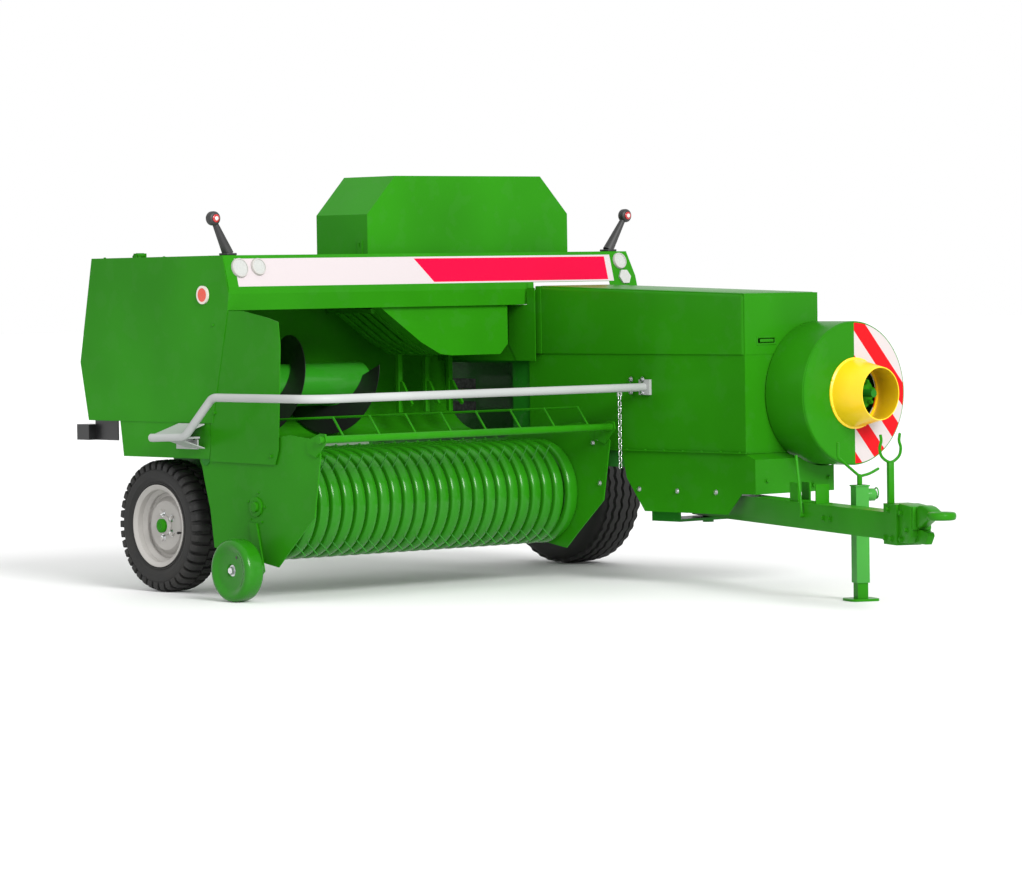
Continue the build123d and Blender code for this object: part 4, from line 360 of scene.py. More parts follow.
@dataclass(frozen=True)
class Lens:
    """A clear or coloured reflector with small prisms under its face."""

    name: str
    colour: Colour
    prisms: float = 320.0
    side_y: float | None = None
    side_colour: Colour = (0.60, 0.035, 0.003)
    rim_colour: Colour = (0.62, 0.55, 0.50)
    middle: tuple[float, float] = (0.407, 1.311)
    rim_from: float = 0.030

    def build(self) -> Material:
        """Makes the material."""
        nodes = Nodes(self.name)
        cells = nodes.add("ShaderNodeTexVoronoi")
        cells.inputs["Scale"].default_value = self.prisms
        nodes.join(nodes.place, cells.inputs["Vector"])
        shade = nodes.ramp(cells.outputs["Distance"], [(0.0, tuple(c * 0.72 for c in self.colour)), (0.6, self.colour)])
        if self.side_y is not None:
            shade = self.with_side(nodes, shade)
        nodes.feed("Base Color", shade)
        nodes.feed("Roughness", 0.12)
        nodes.feed("Coat Weight", 0.6)
        nodes.bump(cells.outputs["Distance"], 0.0006)
        return nodes.material

    def with_side(self, nodes: Nodes, shade: Socket) -> Socket:
        """Lays the side reflector's own colour and pale rim over the others' shade."""
        x, y, z = nodes.split()
        across = nodes.math("SUBTRACT", x, self.middle[0] + LAYOUT_X)
        up = nodes.math("SUBTRACT", z, self.middle[1])
        reach = nodes.reach(across, up)
        ringed = nodes.mix(nodes.math("GREATER_THAN", reach, self.rim_from), self.side_colour, self.rim_colour)
        return nodes.mix(nodes.math("LESS_THAN", y, self.side_y + LAYOUT_Y), shade, ringed)


GREEN: Colour = (0.0185, 0.188, 0.0035)
LIGHT_GREEN: Colour = (0.045, 0.245, 0.035)


@dataclass
class Palette:
    """Every finish of the machine, made once, and the nodes that wear it."""

    green: Paint = Paint("green_paint", GREEN)
    beam: Paint = BeamPaint("beam_green_with_strip", GREEN)
    guard: Paint = GuardPaint("guard_green_with_bars", GREEN)
    light_green: Paint = Paint("light_green_paint", LIGHT_GREEN, 0.3, 0.1)
    band_green: Paint = Paint("band_green_paint", (0.0165, 0.178, 0.004), 0.2, 0.12, 0.03, 0.16)
    auger: Paint = FlightPaint("auger_green_with_painted_shade_flight", (0.018, 0.205, 0.008), 0.3, 0.2, 0.05, 0.3)
    rail: Paint = Paint("rail_grey_paint", (0.36, 0.375, 0.365), 0.34, 0.1)
    silver: Paint = Paint("rim_silver_paint", (0.40, 0.385, 0.365), 0.34, 0.2)
    # Darker green for the machine's inner and under parts: painted shade; its stronger dust film is real dust.
    dark_green: Paint = Paint("inner_green_painted_shade", (0.012, 0.150, 0.010), 0.4, 0.1, 0.12)
    steel: Metal = Metal("worked_steel", (0.42, 0.42, 0.41), (0.20, 0.19, 0.18), 0.38)
    zinc: Metal = Metal("zinc_plate", (0.72, 0.73, 0.74), (0.46, 0.47, 0.48), 0.28)
    # Near-black steel of the chamber's liner: painted shade inside the chamber.
    liner: Metal = Metal("liner_steel_in_painted_shade", (0.050, 0.055, 0.050), (0.022, 0.027, 0.022), 0.5)
    spring: Metal = Metal("spring_steel", (0.16, 0.17, 0.16), (0.07, 0.09, 0.06), 0.4)
    tyre: Rubber = Rubber("tyre_rubber")
    moulding: Rubber = Rubber("black_rubber", (0.014, 0.014, 0.014), (0.03, 0.03, 0.03), 0.5)
    chrome: Metal = Metal("bright_plate", (0.75, 0.76, 0.77), (0.55, 0.56, 0.57), 0.16, 25.0)
    yellow: Plastic = Plastic("yellow_plastic", (0.90, 0.58, 0.008), 0.3)
    black: Plastic = Plastic("black_plastic", (0.012, 0.012, 0.013), 0.32)
    reflector: Lens = Lens("clear_and_amber_reflector", (0.42, 0.43, 0.41), side_y=-0.1095)
    clear_lens: Lens = Lens("clear_lamp_lens", (0.62, 0.62, 0.60))
    red_lens: Lens = Lens("red_lamp_lens", (0.42, 0.006, 0.008))
    amber_lens: Lens = Lens("amber_lamp_lens", (0.70, 0.20, 0.005))
    made: dict[str, Material] = field(default_factory=dict)

    def get(self, name: str) -> Material:
        """Gives one finish's material, made on first use."""
        if name not in self.made:
            self.made[name] = getattr(self, name).build()
        return self.made[name]

    def dress(self, nodes: dict[str, Piece], finishes: dict[str, str]) -> None:
        """Gives each node of the frame its finish."""
        for name, node in nodes.items():
            node.data.materials.clear()
            node.data.materials.append(self.get(finishes.get(name, "green")))
            log.info("dressed %s", name)


PALETTE = Palette()


@dataclass
class Studio:
    """The camera, the floor and the lights."""

    turn: float = 48.7099
    tip: float = 2.2261
    roll: float = -0.8335
    lens: float = 157.65
    film_width: float = 36.0
    far: float = 200.0
    floor_width: float = 160.0
    white: tuple[float, ...] = (1.0, 1.0, 1.0, 1.0)
    stand: Point = (14.7474, -13.0617, 1.3824)

    def camera(self) -> None:
        """Stands the camera where the photograph was taken from."""
        turn, tip, roll = (math.radians(v) for v in (self.turn, self.tip, self.roll))
        ahead = Vector((-math.sin(turn) * math.cos(tip), math.cos(turn) * math.cos(tip), -math.sin(tip)))
        right = Vector((math.cos(turn), math.sin(turn), 0.0))
        up = right.cross(ahead)
        across = right * math.cos(roll) + up * math.sin(roll)
        upright = up * math.cos(roll) - right * math.sin(roll)
        data = bpy.data.cameras.new("camera")
        data.sensor_width = self.film_width
        data.lens = self.lens
        data.clip_end = self.far
        camera = bpy.data.objects.new("camera", data)
        turned = Matrix((across, upright, -ahead)).transposed().to_4x4()
        camera.matrix_world = Matrix.Translation(self.stand) @ turned
        bpy.context.scene.collection.objects.link(camera)
        bpy.context.scene.camera = camera

    def floor(self) -> None:
        """Lays a wide pale floor that meets the backdrop in one colour."""
        bpy.ops.mesh.primitive_plane_add(size=self.floor_width, location=(0.0, 0.0, -0.0005))
        floor = bpy.context.object
        floor.name = "floor"
        nodes = Nodes("studio_floor")
        tone = nodes.ramp(nodes.noise(0.6, 2.0), [(0.3, (0.83, 0.83, 0.83)), (0.7, (0.85, 0.85, 0.85))])
        nodes.feed("Base Color", tone)
        nodes.feed("Roughness", 0.6)
        floor.data.materials.append(nodes.material)

    def light(self, name: str, kind: str, place: Point, target: Point, power: float) -> bpy.types.Light:
        """Hangs one light that looks at a target."""
        data = bpy.data.lights.new(name, kind)
        data.energy = power
        light = bpy.data.objects.new(name, data)
        aim = (Vector(target) - Vector(place)).to_track_quat("-Z", "Y")
        light.matrix_world = Matrix.Translation(place) @ aim.to_matrix().to_4x4()
        bpy.context.scene.collection.objects.link(light)
        return data

    def build(self) -> None:
        """Sets up the whole studio."""
        self.camera()
        self.floor()
        world = bpy.data.worlds.new("studio")
        world.use_nodes = True
        background = world.node_tree.nodes["Background"].inputs
        background["Color"].default_value = self.white
        background["Strength"].default_value = 1.0
        bpy.context.scene.world = world
        bpy.context.scene.view_settings.view_transform = "Standard"
        sun = self.light("front_light", "SUN", ORIGIN, (-1.0, 0.22, -0.55), 2.75)
        sun.angle = math.radians(24)
        gloss = self.light("gloss", "AREA", (7.5, -3.5, 4.0), (0.4, 0.2, 0.7), 160.0)
        gloss.shape = "RECTANGLE"
        gloss.size, gloss.size_y = 5.0, 1.2


SEED = 0.002
MERGE = 0.00005
SAME_WAY = 0.9


def looks(way: Point) -> Callable[[Vector, Vector], bool]:
    """Gives the test, for Bench.pick, of faces that look one way."""
    return lambda centre, normal: normal.dot(Vector(way)) > SAME_WAY


class Bench:
    """The modelling bench: Blender's own operators, called as by hand."""

    def rest(self) -> None:
        """Leaves edit mode and deselects everything."""
        if bpy.context.object is not None and bpy.context.object.mode != "OBJECT":
            bpy.ops.object.mode_set(mode="OBJECT")
        bpy.ops.object.select_all(action="DESELECT")

    def only(self, piece: Piece) -> None:
        """Selects one piece and makes it the active one."""
        self.rest()
        piece.select_set(True)
        bpy.context.view_layer.objects.active = piece

    def leave(self) -> None:
        """Leaves edit mode."""
        bpy.ops.object.mode_set(mode="OBJECT")

    def took(self, name: str) -> Piece:
        """Names the object that an operator just added."""
        piece = bpy.context.object
        piece.name = name
        piece.data.name = name
        return piece

    def placed(self, name: str) -> Piece:
        """Names the object that an operator just added and applies its place, turn and size."""
        piece = self.took(name)
        bpy.ops.object.transform_apply(location=True, rotation=True, scale=True)
        return piece

    def drum(self, name: str, centre: Point, radius: float, depth: float, sides: int,
             axis: Point = UP) -> Piece:
        """Adds a drum."""
        self.rest()
        turn = Vector(axis).to_track_quat("Z", "Y").to_euler()
        bpy.ops.mesh.primitive_cylinder_add(vertices=sides, radius=radius, depth=depth, location=centre, rotation=turn)
        return self.placed(name)

    def slab(self, name: str, low: Point, high: Point) -> Piece:
        """Adds a block between two corners."""
        self.rest()
        centre = [(a + b) / 2 for a, b in zip(low, high)]
        size = [b - a for a, b in zip(low, high)]
        bpy.ops.mesh.primitive_cube_add(size=1.0, location=centre, scale=size)
        return self.placed(name)

    def line(self, name: str, points: list[Point], closed: bool = False) -> Piece:
        """Draws an outline by extruding one vertex from point to point.

        Args:
            name: The piece's name.
            points: The outline's points.
            closed: Whether the last point joins the first.

        Returns:
            The outline, left in edit mode with all of it selected.
        """
        self.rest()
        bpy.ops.mesh.primitive_plane_add(size=SEED, location=points[0])
        piece = self.placed(name)
        bpy.ops.object.mode_set(mode="EDIT")
        bpy.ops.mesh.select_mode(type="VERT")
        bpy.ops.mesh.select_all(action="SELECT")
        bpy.ops.mesh.merge(type="CENTER")
        stops = points[1:] + points[:1] if closed else points[1:]
        for last, point in zip(points, stops):
            self.push(Vector(point) - Vector(last))
        bpy.ops.mesh.select_all(action="SELECT")
        if closed:
            bpy.ops.mesh.remove_doubles(threshold=MERGE)
        return piece

    def prism(self, name: str, points: list[Point], push: Point) -> Piece:
        """Fills an outline and pushes it out into a solid."""
        piece = self.line(name, points, closed=True)
        bpy.ops.mesh.edge_face_add()
        self.push(push)
        self.closed()
        return piece

    def rod(self, name: str, points: list[Point], radius: float, sides: int = 12) -> Piece:
        """Models a bent round bar from drums with a ball in each bend.

        Args:
            name: The piece's name.
            points: The bar's points.
            radius: Its radius.
            sides: Sides of its round.

        Returns:
            The bar.
        """
        parts = []
        for start, end in zip(points, points[1:]):
            step = Vector(end) - Vector(start)
            middle = (Vector(start) + Vector(end)) / 2
            parts.append(self.drum(name, tuple(middle), radius, step.length, sides, tuple(step)))
        for point in points[1:]:
            self.rest()
            bpy.ops.mesh.primitive_uv_sphere_add(segments=sides, ring_count=8, radius=radius, location=point)
            parts.append(self.placed(name))
        return self.joined(name, parts)

    def push(self, value: Point) -> None:
        """Extrudes what is selected."""
        bpy.ops.mesh.extrude_region_move(TRANSFORM_OT_translate={"value": value})

    def closed(self, merge: float = 0.0) -> None:
        """Turns the normals of what is edited outwards, after merging near points, and leaves edit mode."""
        bpy.ops.mesh.select_all(action="SELECT")
        if merge:
            bpy.ops.mesh.remove_doubles(threshold=merge)
        bpy.ops.mesh.normals_make_consistent(inside=False)
        self.leave()

    def turned(self, name: str, centre: Point, outline: list[tuple[float, float]], steps: int,
               axis: Point = LEFT) -> Piece:
        """Turns an outline about an axis, like on a lathe.

        Args:
            name: The piece's name.
            centre: The axis's middle.
            outline: Distance from the axis and place along it for each point, in metres.
            steps: Steps of the whole turn.
            axis: The axis, which is X, Y or Z.

        Returns:
            The turned piece.
        """
        away = LEFT if axis[0] else FRONT
        points = [tuple(c + a * reach + b * offset for c, a, b in zip(centre, away, axis)) for reach, offset in outline]
        piece = self.line(name, points, closed=True)
        bpy.ops.mesh.spin(steps=steps, angle=2 * math.pi, center=centre, axis=axis)
        self.closed(MERGE)
        return piece

    def wound(self, piece: Piece, axis: str, angle: float, rise: float, turns: int, steps: int) -> None:
        """Winds an outline round the origin with an applied screw modifier.

        Args:
            piece: The outline.
            axis: The axis's letter.
            angle: Radians of one turn.
            rise: Metres along the axis for one turn.
            turns: How many turns.
            steps: Steps of one turn.
        """
        wind = piece.modifiers.new("wind", "SCREW")
        wind.axis = axis
        wind.angle = angle
        wind.screw_offset = rise
        wind.iterations = turns
        wind.steps = steps
        wind.render_steps = steps
        self.only(piece)
        bpy.ops.object.modifier_apply(modifier=wind.name)
        bpy.ops.object.mode_set(mode="EDIT")

    def pick(self, piece: Piece, test: Callable[[Vector, Vector], bool]) -> None:
        """Goes into edit mode with the faces selected that pass a test."""
        self.only(piece)
        bpy.ops.object.mode_set(mode="EDIT")
        bpy.ops.mesh.select_mode(type="FACE")
        bpy.ops.mesh.select_all(action="DESELECT")
        bpy.ops.object.mode_set(mode="OBJECT")
        for face in piece.data.polygons:
            face.select = test(face.center, face.normal)
        bpy.ops.object.mode_set(mode="EDIT")

    def inset(self, piece: Piece, way: Point, *steps: tuple[float, float]) -> Piece:
        """Insets the faces of a piece that look one way, by steps of thickness and depth, and gives it back."""
        self.pick(piece, looks(way))
        for thickness, depth in steps:
            bpy.ops.mesh.inset(thickness=thickness, depth=depth)
        self.leave()
        return piece

    def eased(self, piece: Piece, width: float, segments: int = 2, angle: float = 35.0) -> Piece:
        """Bevels a piece's sharp edges with an applied modifier.

        Args:
            piece: The piece.
            width: The bevel's width.
            segments: Its segments.
            angle: Edges sharper than this are bevelled, in degrees.

        Returns:
            The same piece.
        """
        self.only(piece)
        bevel = piece.modifiers.new("ease", "BEVEL")
        bevel.width = width
        bevel.segments = segments
        bevel.limit_method = "ANGLE"
        bevel.angle_limit = math.radians(angle)
        bpy.ops.object.modifier_apply(modifier=bevel.name)
        return piece

    def upright(self, name: str, y: float, outline: tuple[tuple[float, float], ...], thick: float) -> Piece:
        """Cuts a plate that stands along the machine.

        Args:
            name: The plate's name.
            y: Its right face, in the layout's millimetres.
            outline: X and Z of its corners, in the layout's millimetres.
            thick: Its thickness in metres.

        Returns:
            The plate.
        """
        return self.prism(name, [at(x, y, z) for x, z in outline], (0.0, thick, 0.0))

    def joined(self, name: str, parts: list[Piece]) -> Piece:
        """Joins pieces into one."""
        self.rest()
        for part in parts:
            part.select_set(True)
        bpy.context.view_layer.objects.active = parts[0]
        if len(parts) > 1:
            bpy.ops.object.join()
        return self.took(name)

    def spread(self, name: str, pattern: Piece, places: list[Matrix]) -> Piece:
        """Copies a pattern to several places and joins the copies."""
        self.rest()
        twins = []
        for place in places:
            twin = bpy.data.objects.new(name, pattern.data.copy())
            bpy.context.scene.collection.objects.link(twin)
            twin.data.transform(place)
            twins.append(twin)
        bpy.data.objects.remove(pattern, do_unlink=True)
        return self.joined(name, twins)

    def done(self, piece: Piece, finish: str = "green", body: str = "machine",
             smooth: float = 32.0) -> None:
        """Shades, paints and seats a finished piece."""
        self.only(piece)
        bpy.ops.object.shade_smooth_by_angle(angle=math.radians(smooth))
        piece.data.materials.clear()
        piece.data.materials.append(PALETTE.get(finish))
        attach(piece, body)
        log.info("built %s: %d faces on %s", piece.name, len(piece.data.polygons), body)


BENCH = Bench()


def stood(place: Point, facing: Point, turn: float = 0.0, scale: float = 1.0) -> Matrix:
    """Gives the matrix that stands a pattern, made upright at the origin, on a face."""
    upright = Vector(facing).to_track_quat("Z", "Y").to_matrix().to_4x4()
    return Matrix.Translation(place) @ upright @ Matrix.Rotation(math.radians(turn), 4, "Z") @ Matrix.Scale(scale, 4)


SWING = math.radians(-22.9)


def along(reach: float, offset: float, z: float) -> Point:
    """Gives a point on the swung drawbar."""
    x = 1400.0 + reach * math.cos(SWING) - offset * math.sin(SWING)
    y = 1950.0 + reach * math.sin(SWING) + offset * math.cos(SWING)
    return at(x, y, z)


def metres(*outline: tuple[float, float]) -> list[tuple[float, float]]:
    """Turns an outline in millimetres into metres."""
    return [(first / 1000, second / 1000) for first, second in outline]


Row = list[tuple[Point, Point, float]]


def row(facing: Point, size: float, spots: list[Point]) -> Row:
    """Gives a row of fasteners that look one way, from spots in the layout's millimetres."""
    return [(at(*spot), facing, size) for spot in spots]


def ring_of(count: int, first: float = 0.0) -> list[float]:
    """Gives the angles, in radians, of places spread evenly round a circle from a first one in degrees."""
    return [math.radians(first + 360 * index / count) for index in range(count)]


@dataclass
class Fasteners:
    """Hexagon bolts on washers and round-headed rivets, in rows by the body that carries them."""

    across: float = 0.0085
    head: float = 0.0075
    washer: float = 0.0135
    rivet: float = 0.006
    next_turn: float = 17.0

    def bolt(self) -> Piece:
        """Models one bolt head with its chamfer and washer, standing at the origin."""
        head = BENCH.drum("bolt_head", (0.0, 0.0, 0.0017 + self.head / 2), self.across, self.head, 6)
        BENCH.inset(head, UP, (self.across * 0.16, self.head * 0.14))
        ring = BENCH.drum("bolt_washer", (0.0, 0.0, 0.0008), self.washer, 0.0018, 18)
        return BENCH.joined("bolt", [head, BENCH.inset(ring, UP, (0.0006, 0.0003))])

    def round_head(self) -> Piece:
        """Models one round-headed rivet, standing at the origin."""
        head = BENCH.drum("rivet", (0.0, 0.0, self.rivet * 0.25), self.rivet, self.rivet * 0.5, 14)
        return BENCH.inset(head, UP, (self.rivet * 0.3, self.rivet * 0.22), (self.rivet * 0.3, self.rivet * 0.08))

    def bolts(self, name: str, rows: Row, finish: str, body: str = "machine", slot: str = "green_paint") -> None:
        """Sets bolts on a body, each turned a little further than the one before."""
        places = [stood(place, facing, self.next_turn * index, size)
                  for index, (place, facing, size) in enumerate(rows)]
        BENCH.done(BENCH.spread(name, self.bolt(), places), finish, body, 25.0)

    def rivets(self, name: str, rows: Row, finish: str, body: str = "machine", slot: str = "green_paint") -> None:
        """Sets rivets on a body."""
        places = [stood(place, facing, 0.0, size) for place, facing, size in rows]
        BENCH.done(BENCH.spread(name, self.round_head(), places), finish, body, 40.0)


FASTENERS = Fasteners()


@dataclass
class LuggedTyre:
    """The right tyre: ringed side walls and two staggered rows of square shoulder lugs."""

    centre: Point = at(0.0, 0.0, 292.5)
    radius: float = 0.2925
    lug: float = 0.012
    count: int = 38
    length: float = 0.029

    def casing(self) -> Piece:
        """Turns the casing from its outline."""
        half = [(0.1675, 0.058), (0.1715, 0.066), (0.1850, 0.0690), (0.1885, 0.0735), (0.1925, 0.0738),
                (0.1955, 0.0705), (0.2100, 0.0765), (0.2130, 0.0790), (0.2160, 0.0792), (0.2200, 0.0785),
                (0.2350, 0.0815), (0.2480, 0.0780), (0.2560, 0.0720), (0.2640, 0.0640), (0.2720, 0.0500),
                (0.2800, 0.0300), (0.2805, 0.0)]
        inner = [(0.1700, -0.052), (0.2100, -0.066), (0.2450, -0.062), (0.2600, -0.030), (0.2620, 0.0),
                 (0.2600, 0.030), (0.2450, 0.062), (0.2100, 0.066), (0.1700, 0.052)]
        outline = half + [(r, -y) for r, y in reversed(half[:-1])] + inner
        return BENCH.turned("right_tyre_casing", self.centre, outline, 96)

    def shoulder_lug(self) -> Piece:
        """Models one shoulder lug, standing above the origin with the wheel's axis along Y."""
        base = self.radius - self.lug
        outline = [(0.004, base - 0.006), (0.004, self.radius - 0.0004), (0.052, self.radius - 0.002),
                   (0.071, self.radius - 0.009), (0.0790, base - 0.008), (0.0800, base - 0.030),
                   (0.068, base - 0.034), (0.052, base - 0.024)]
        points = [(-self.length / 2, y, r) for y, r in outline]
        return BENCH.eased(BENCH.prism("tread_lug", points, (self.length, 0.0, 0.0)), 0.0025, 2, 30)

    def build(self) -> None:
        """Builds the tyre in the solid's place."""
        parts = [self.casing()]
        mirror = Matrix.Rotation(math.pi, 4, "Z")
        for side in range(2):
            places = []
            for index in range(self.count):
                turn = 2 * math.pi * (index + side / 2) / self.count
                place = Matrix.Translation(self.centre) @ Matrix.Rotation(turn, 4, "Y")
                places.append(place @ mirror if side else place)
            parts.append(BENCH.spread(f"tread_row_{side}", self.shoulder_lug(), places))
        tyre = BENCH.joined("right_tyre_rubber", parts)
        BENCH.done(tyre, "tyre", "right_wheel", 40)
        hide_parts("right_tyre")


@dataclass
class RibbedTyre:
    """The left tyre: a wide crown with wavy ribs and ringed side walls."""

    centre: Point = at(0.0, 2400.0, 380.0)
    waves: int = 40
    swing: float = 0.0045
    wavy_from: float = 0.356
    crown: float = 0.3795
    bow: float = 0.9
    groove: float = 0.014
    slope: float = 0.0035
    edge: float = 0.001

    def build(self) -> None:
        """Builds the tyre in the solid's place."""
        wall = [(0.2030, 0.104), (0.2080, 0.112), (0.2240, 0.1150), (0.2280, 0.1200), (0.2330, 0.1202),
                (0.2370, 0.1165), (0.2700, 0.1265), (0.2740, 0.1290), (0.2790, 0.1290), (0.2830, 0.1275),
                (0.3050, 0.1310), (0.3250, 0.1285), (0.3420, 0.1215), (0.3530, 0.1110)]
        crown = [(0.3600, 0.0990)]
        for left, right in ((0.0990, 0.0720), (0.0600, 0.0300), (0.0180, -0.0180), (-0.0300, -0.0600),
                            (-0.0720, -0.0990)):
            rise = self.crown - self.bow * (left * left + right * right) / 2
            if crown[-1][1] != left:
                crown.append((rise - self.groove, left + self.slope))
            crown += [(rise, left - self.edge), (rise, right + self.edge)]
            if right > -0.0990:
                crown.append((rise - self.groove, right - self.slope))
        crown.append((0.3600, -0.0990))
        inner = [(0.2060, -0.098), (0.2600, -0.114), (0.3150, -0.108), (0.3480, -0.070), (0.3520, 0.0),
                 (0.3480, 0.070), (0.3150, 0.108), (0.2600, 0.114), (0.2060, 0.098)]
        outline = wall + crown + [(r, -y) for r, y in reversed(wall)] + inner
        tyre = BENCH.turned("left_tyre_rubber", self.centre, outline, self.waves * 6)
        for vertex in tyre.data.vertices:
            across = vertex.co.x - self.centre[0]
            up = vertex.co.z - self.centre[2]
            if math.hypot(across, up) > self.wavy_from:
                vertex.co.y += self.swing * math.sin(self.waves * math.atan2(up, across))
        BENCH.done(tyre, "tyre", "left_wheel", 34)
        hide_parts("left_tyre")


@dataclass
class WheelDress:
    """Nuts, hub cap and valve of one wheel, on the side that looks outwards."""

    name: str
    centre: Point
    out: float
    body: str
    studs: int = 5
    stud_reach: float = 0.055
    face: float = 0.030
    hub_end: float = 0.0485
    valve_reach: float = 0.112
    valve_turn: float = -15.0

    def spot(self, reach: float, angle: float, out: float) -> Point:
        """Gives a point on the wheel by its reach, angle and distance outwards."""
        return (self.centre[0] + reach * math.cos(angle), self.centre[1] + self.out * out,
                self.centre[2] + reach * math.sin(angle))

    def cap(self) -> Piece:
        """Models the hub's domed cap."""
        axis = (0.0, self.out, 0.0)
        cap = BENCH.drum(f"{self.name}_hub_cap", self.spot(0.0, 0.0, self.hub_end + 0.005), 0.031, 0.012, 40, axis)
        return BENCH.inset(cap, axis, (0.005, 0.004), (0.011, 0.002), (0.003, -0.002))

    def valve(self) -> Piece:
        """Models the valve's stem and cap."""
        axis = (0.0, self.out, 0.0)
        place = (self.valve_reach, math.radians(self.valve_turn))
        stem = BENCH.drum("valve_stem", self.spot(*place, 0.026), 0.0045, 0.026, 14, axis)
        tip = BENCH.drum("valve_cap", self.spot(*place, 0.044), 0.0055, 0.012, 14, axis)
        return BENCH.joined(f"{self.name}_valve", [BENCH.eased(stem, 0.0012), BENCH.eased(tip, 0.0014)])

    def build(self) -> None:
        """Builds the wheel's small pieces."""
        BENCH.done(self.cap(), "green", self.body)
        BENCH.done(self.valve(), "moulding", self.body)
        rows = [(self.spot(self.stud_reach, angle, self.face), (0.0, self.out, 0.0), 1.15)
                for angle in ring_of(self.studs, 36)]
        FASTENERS.bolts(f"{self.name}_wheel_nuts", rows, "chrome", self.body, "zinc_chain")


@dataclass
class Bands:
    """The pickup's stripper bands with their rounded crowns, rolled from one strip and copied along the reel."""

    axis_x: float = 740.0
    axis_z: float = 400.0
    radius: float = 236.0
    width: float = 51.0
    depth: float = 30.0
    rear_x: float = 451.0
    tail: float = 14.0
    first_y: float = -42.0
    pitch: float = 67.5
    count: int = 23
    drum_y: float = 1524.7
    drum_width: float = 61.0
    sheet: float = 2.5
    crown_turn: float = 78.0
    crown_steps: int = 8

    def section(self, width: float) -> list[tuple[float, float]]:
        """Gives a band's section as (offset along the reel, radius), outside first."""
        half = width / 2
        low = self.radius - self.depth
        pitch = 2 * self.crown_turn / self.crown_steps
        turns = [math.radians(-self.crown_turn + pitch * step) for step in range(self.crown_steps + 1)]
        crown = [(half * math.sin(turn) / math.sin(math.radians(self.crown_turn)),
                  self.radius - 11 + 10.5 * math.cos(turn)) for turn in turns]
        inside = [(y * (half - self.sheet) / half, r - self.sheet) for y, r in reversed(crown)]
        return [(-half, low), *crown, (half, low), (half - self.sheet, low), *inside, (-half + self.sheet, low)]

    def band(self, width: float) -> Piece:
        """Rolls a band of a width about the reel, at Y = 0, and draws out its two straight tails."""
        x, _, _ = at(self.axis_x, 0.0, 0.0)
        z = self.axis_z / 1000
        points = [(x, y / 1000, z + r / 1000) for y, r in self.section(width)]
        band = BENCH.line("stripper_band", points, closed=True)
        BENCH.push(((self.rear_x - self.axis_x) / 1000, 0.0, 0.0))
        BENCH.leave()
        front = BENCH.line("band_front", points, closed=True)
        bpy.ops.mesh.spin(steps=40, angle=math.radians(180 + self.tail), center=(x, 0.0, z), axis=RIGHT)
        run = self.axis_x - self.radius * math.sin(math.radians(self.tail)) - self.rear_x
        rise = run * math.tan(math.radians(self.tail))
        BENCH.push((-run / 1000, 0.0, rise / 1000))
        BENCH.leave()
        whole = BENCH.joined("stripper_band", [band, front])
        bpy.ops.object.mode_set(mode="EDIT")
        BENCH.closed(2 * MERGE)
        return whole

    def bands(self, name: str, width: float, rows: list[float]) -> Piece:
        """Copies a band of a width to places across the machine."""
        places = [Matrix.Translation((0.0, y / 1000 + LAYOUT_Y, 0.0)) for y in rows]
        return BENCH.spread(name, self.band(width), places)

    def build(self) -> None:
        """Builds the row of bands, the end drum and their cross bars in the solid's place."""
        rows = [self.first_y + index * self.pitch for index in range(self.count)]
        bands = self.bands("band_row", self.width, rows)
        end = self.bands("end_drum", self.drum_width, [self.drum_y])
        low = BENCH.slab("low_cross_bar", at(443, -92.5, 233), at(471, 1555.5, 258))
        top = BENCH.slab("top_cross_bar", at(445, -92.5, 592), at(479, 1555.5, 632))
        for bar in (low, top):
            BENCH.eased(bar, 0.003)
        whole = BENCH.joined("band_row_with_end_drum", [bands, end, low, top])
        BENCH.done(whole, "band_green", "pickup", 50)
        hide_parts("stripper_bands")


@dataclass
class PickupDress:
    """Bolts, bearing plates and rivets of the pickup and its gauge wheel."""

    right_y: float = -99.0
    left_y: float = 1562.0
    first_band_y: float = -42.0
    band_pitch: float = 67.5
    bands: int = 23

    def bearing(self, y: float, facing: Point) -> Piece:
        """Models the reel's bearing plate on the face of one side plate."""
        cap = BENCH.drum("reel_bearing", at(740, y + facing[1] * 3.5, 400), 0.042, 0.007, 40, facing)
        BENCH.pick(cap, looks(facing))
        bpy.ops.mesh.inset(thickness=0.003, depth=0.001)
        bpy.ops.mesh.inset(thickness=0.017, depth=-0.001)
        BENCH.push((0.0, facing[1] * 0.009, 0.0))
        bpy.ops.mesh.inset(thickness=0.003, depth=0.002)
        BENCH.leave()
        return cap

    def build(self) -> None:
        """Builds the pickup's small pieces."""
        bearings = [self.bearing(self.right_y, RIGHT), self.bearing(self.left_y, LEFT)]
        BENCH.done(BENCH.joined("reel_bearings", bearings), "green", "pickup")
        bright = [(x, self.left_y - 6, z) for x, z in ((1072, 621), (1106, 644), (1115, 443))]
        FASTENERS.bolts("left_plate_bolts", row(RIGHT, 0.9, bright), "zinc", "pickup")
        reel = [(776, 336), (688, 420), (700, 345)]
        edge = [(500, 560), (500, 300), (640, 620), (900, 640), (1040, 430), (792, 401)]
        bolts = row(RIGHT, 0.55, [(x, self.right_y, z) for x, z in [(798, 401)] + reel + [(756, 462)]])
        bolts += row(LEFT, 1.0, [(x, self.left_y, z) for x, z in edge + reel])
        FASTENERS.bolts("pickup_bolts", bolts, "green", "pickup")
        rivets = [(468, self.first_band_y + self.band_pitch * index, 635.5) for index in range(self.bands)]
        FASTENERS.rivets("band_rivets", row(UP, 1.0, rivets), "band_green", "pickup")
        FASTENERS.bolts("gauge_wheel_nut", row(RIGHT, 1.9, [(765, -250, 135)]), "zinc", "gauge", "zinc_chain")


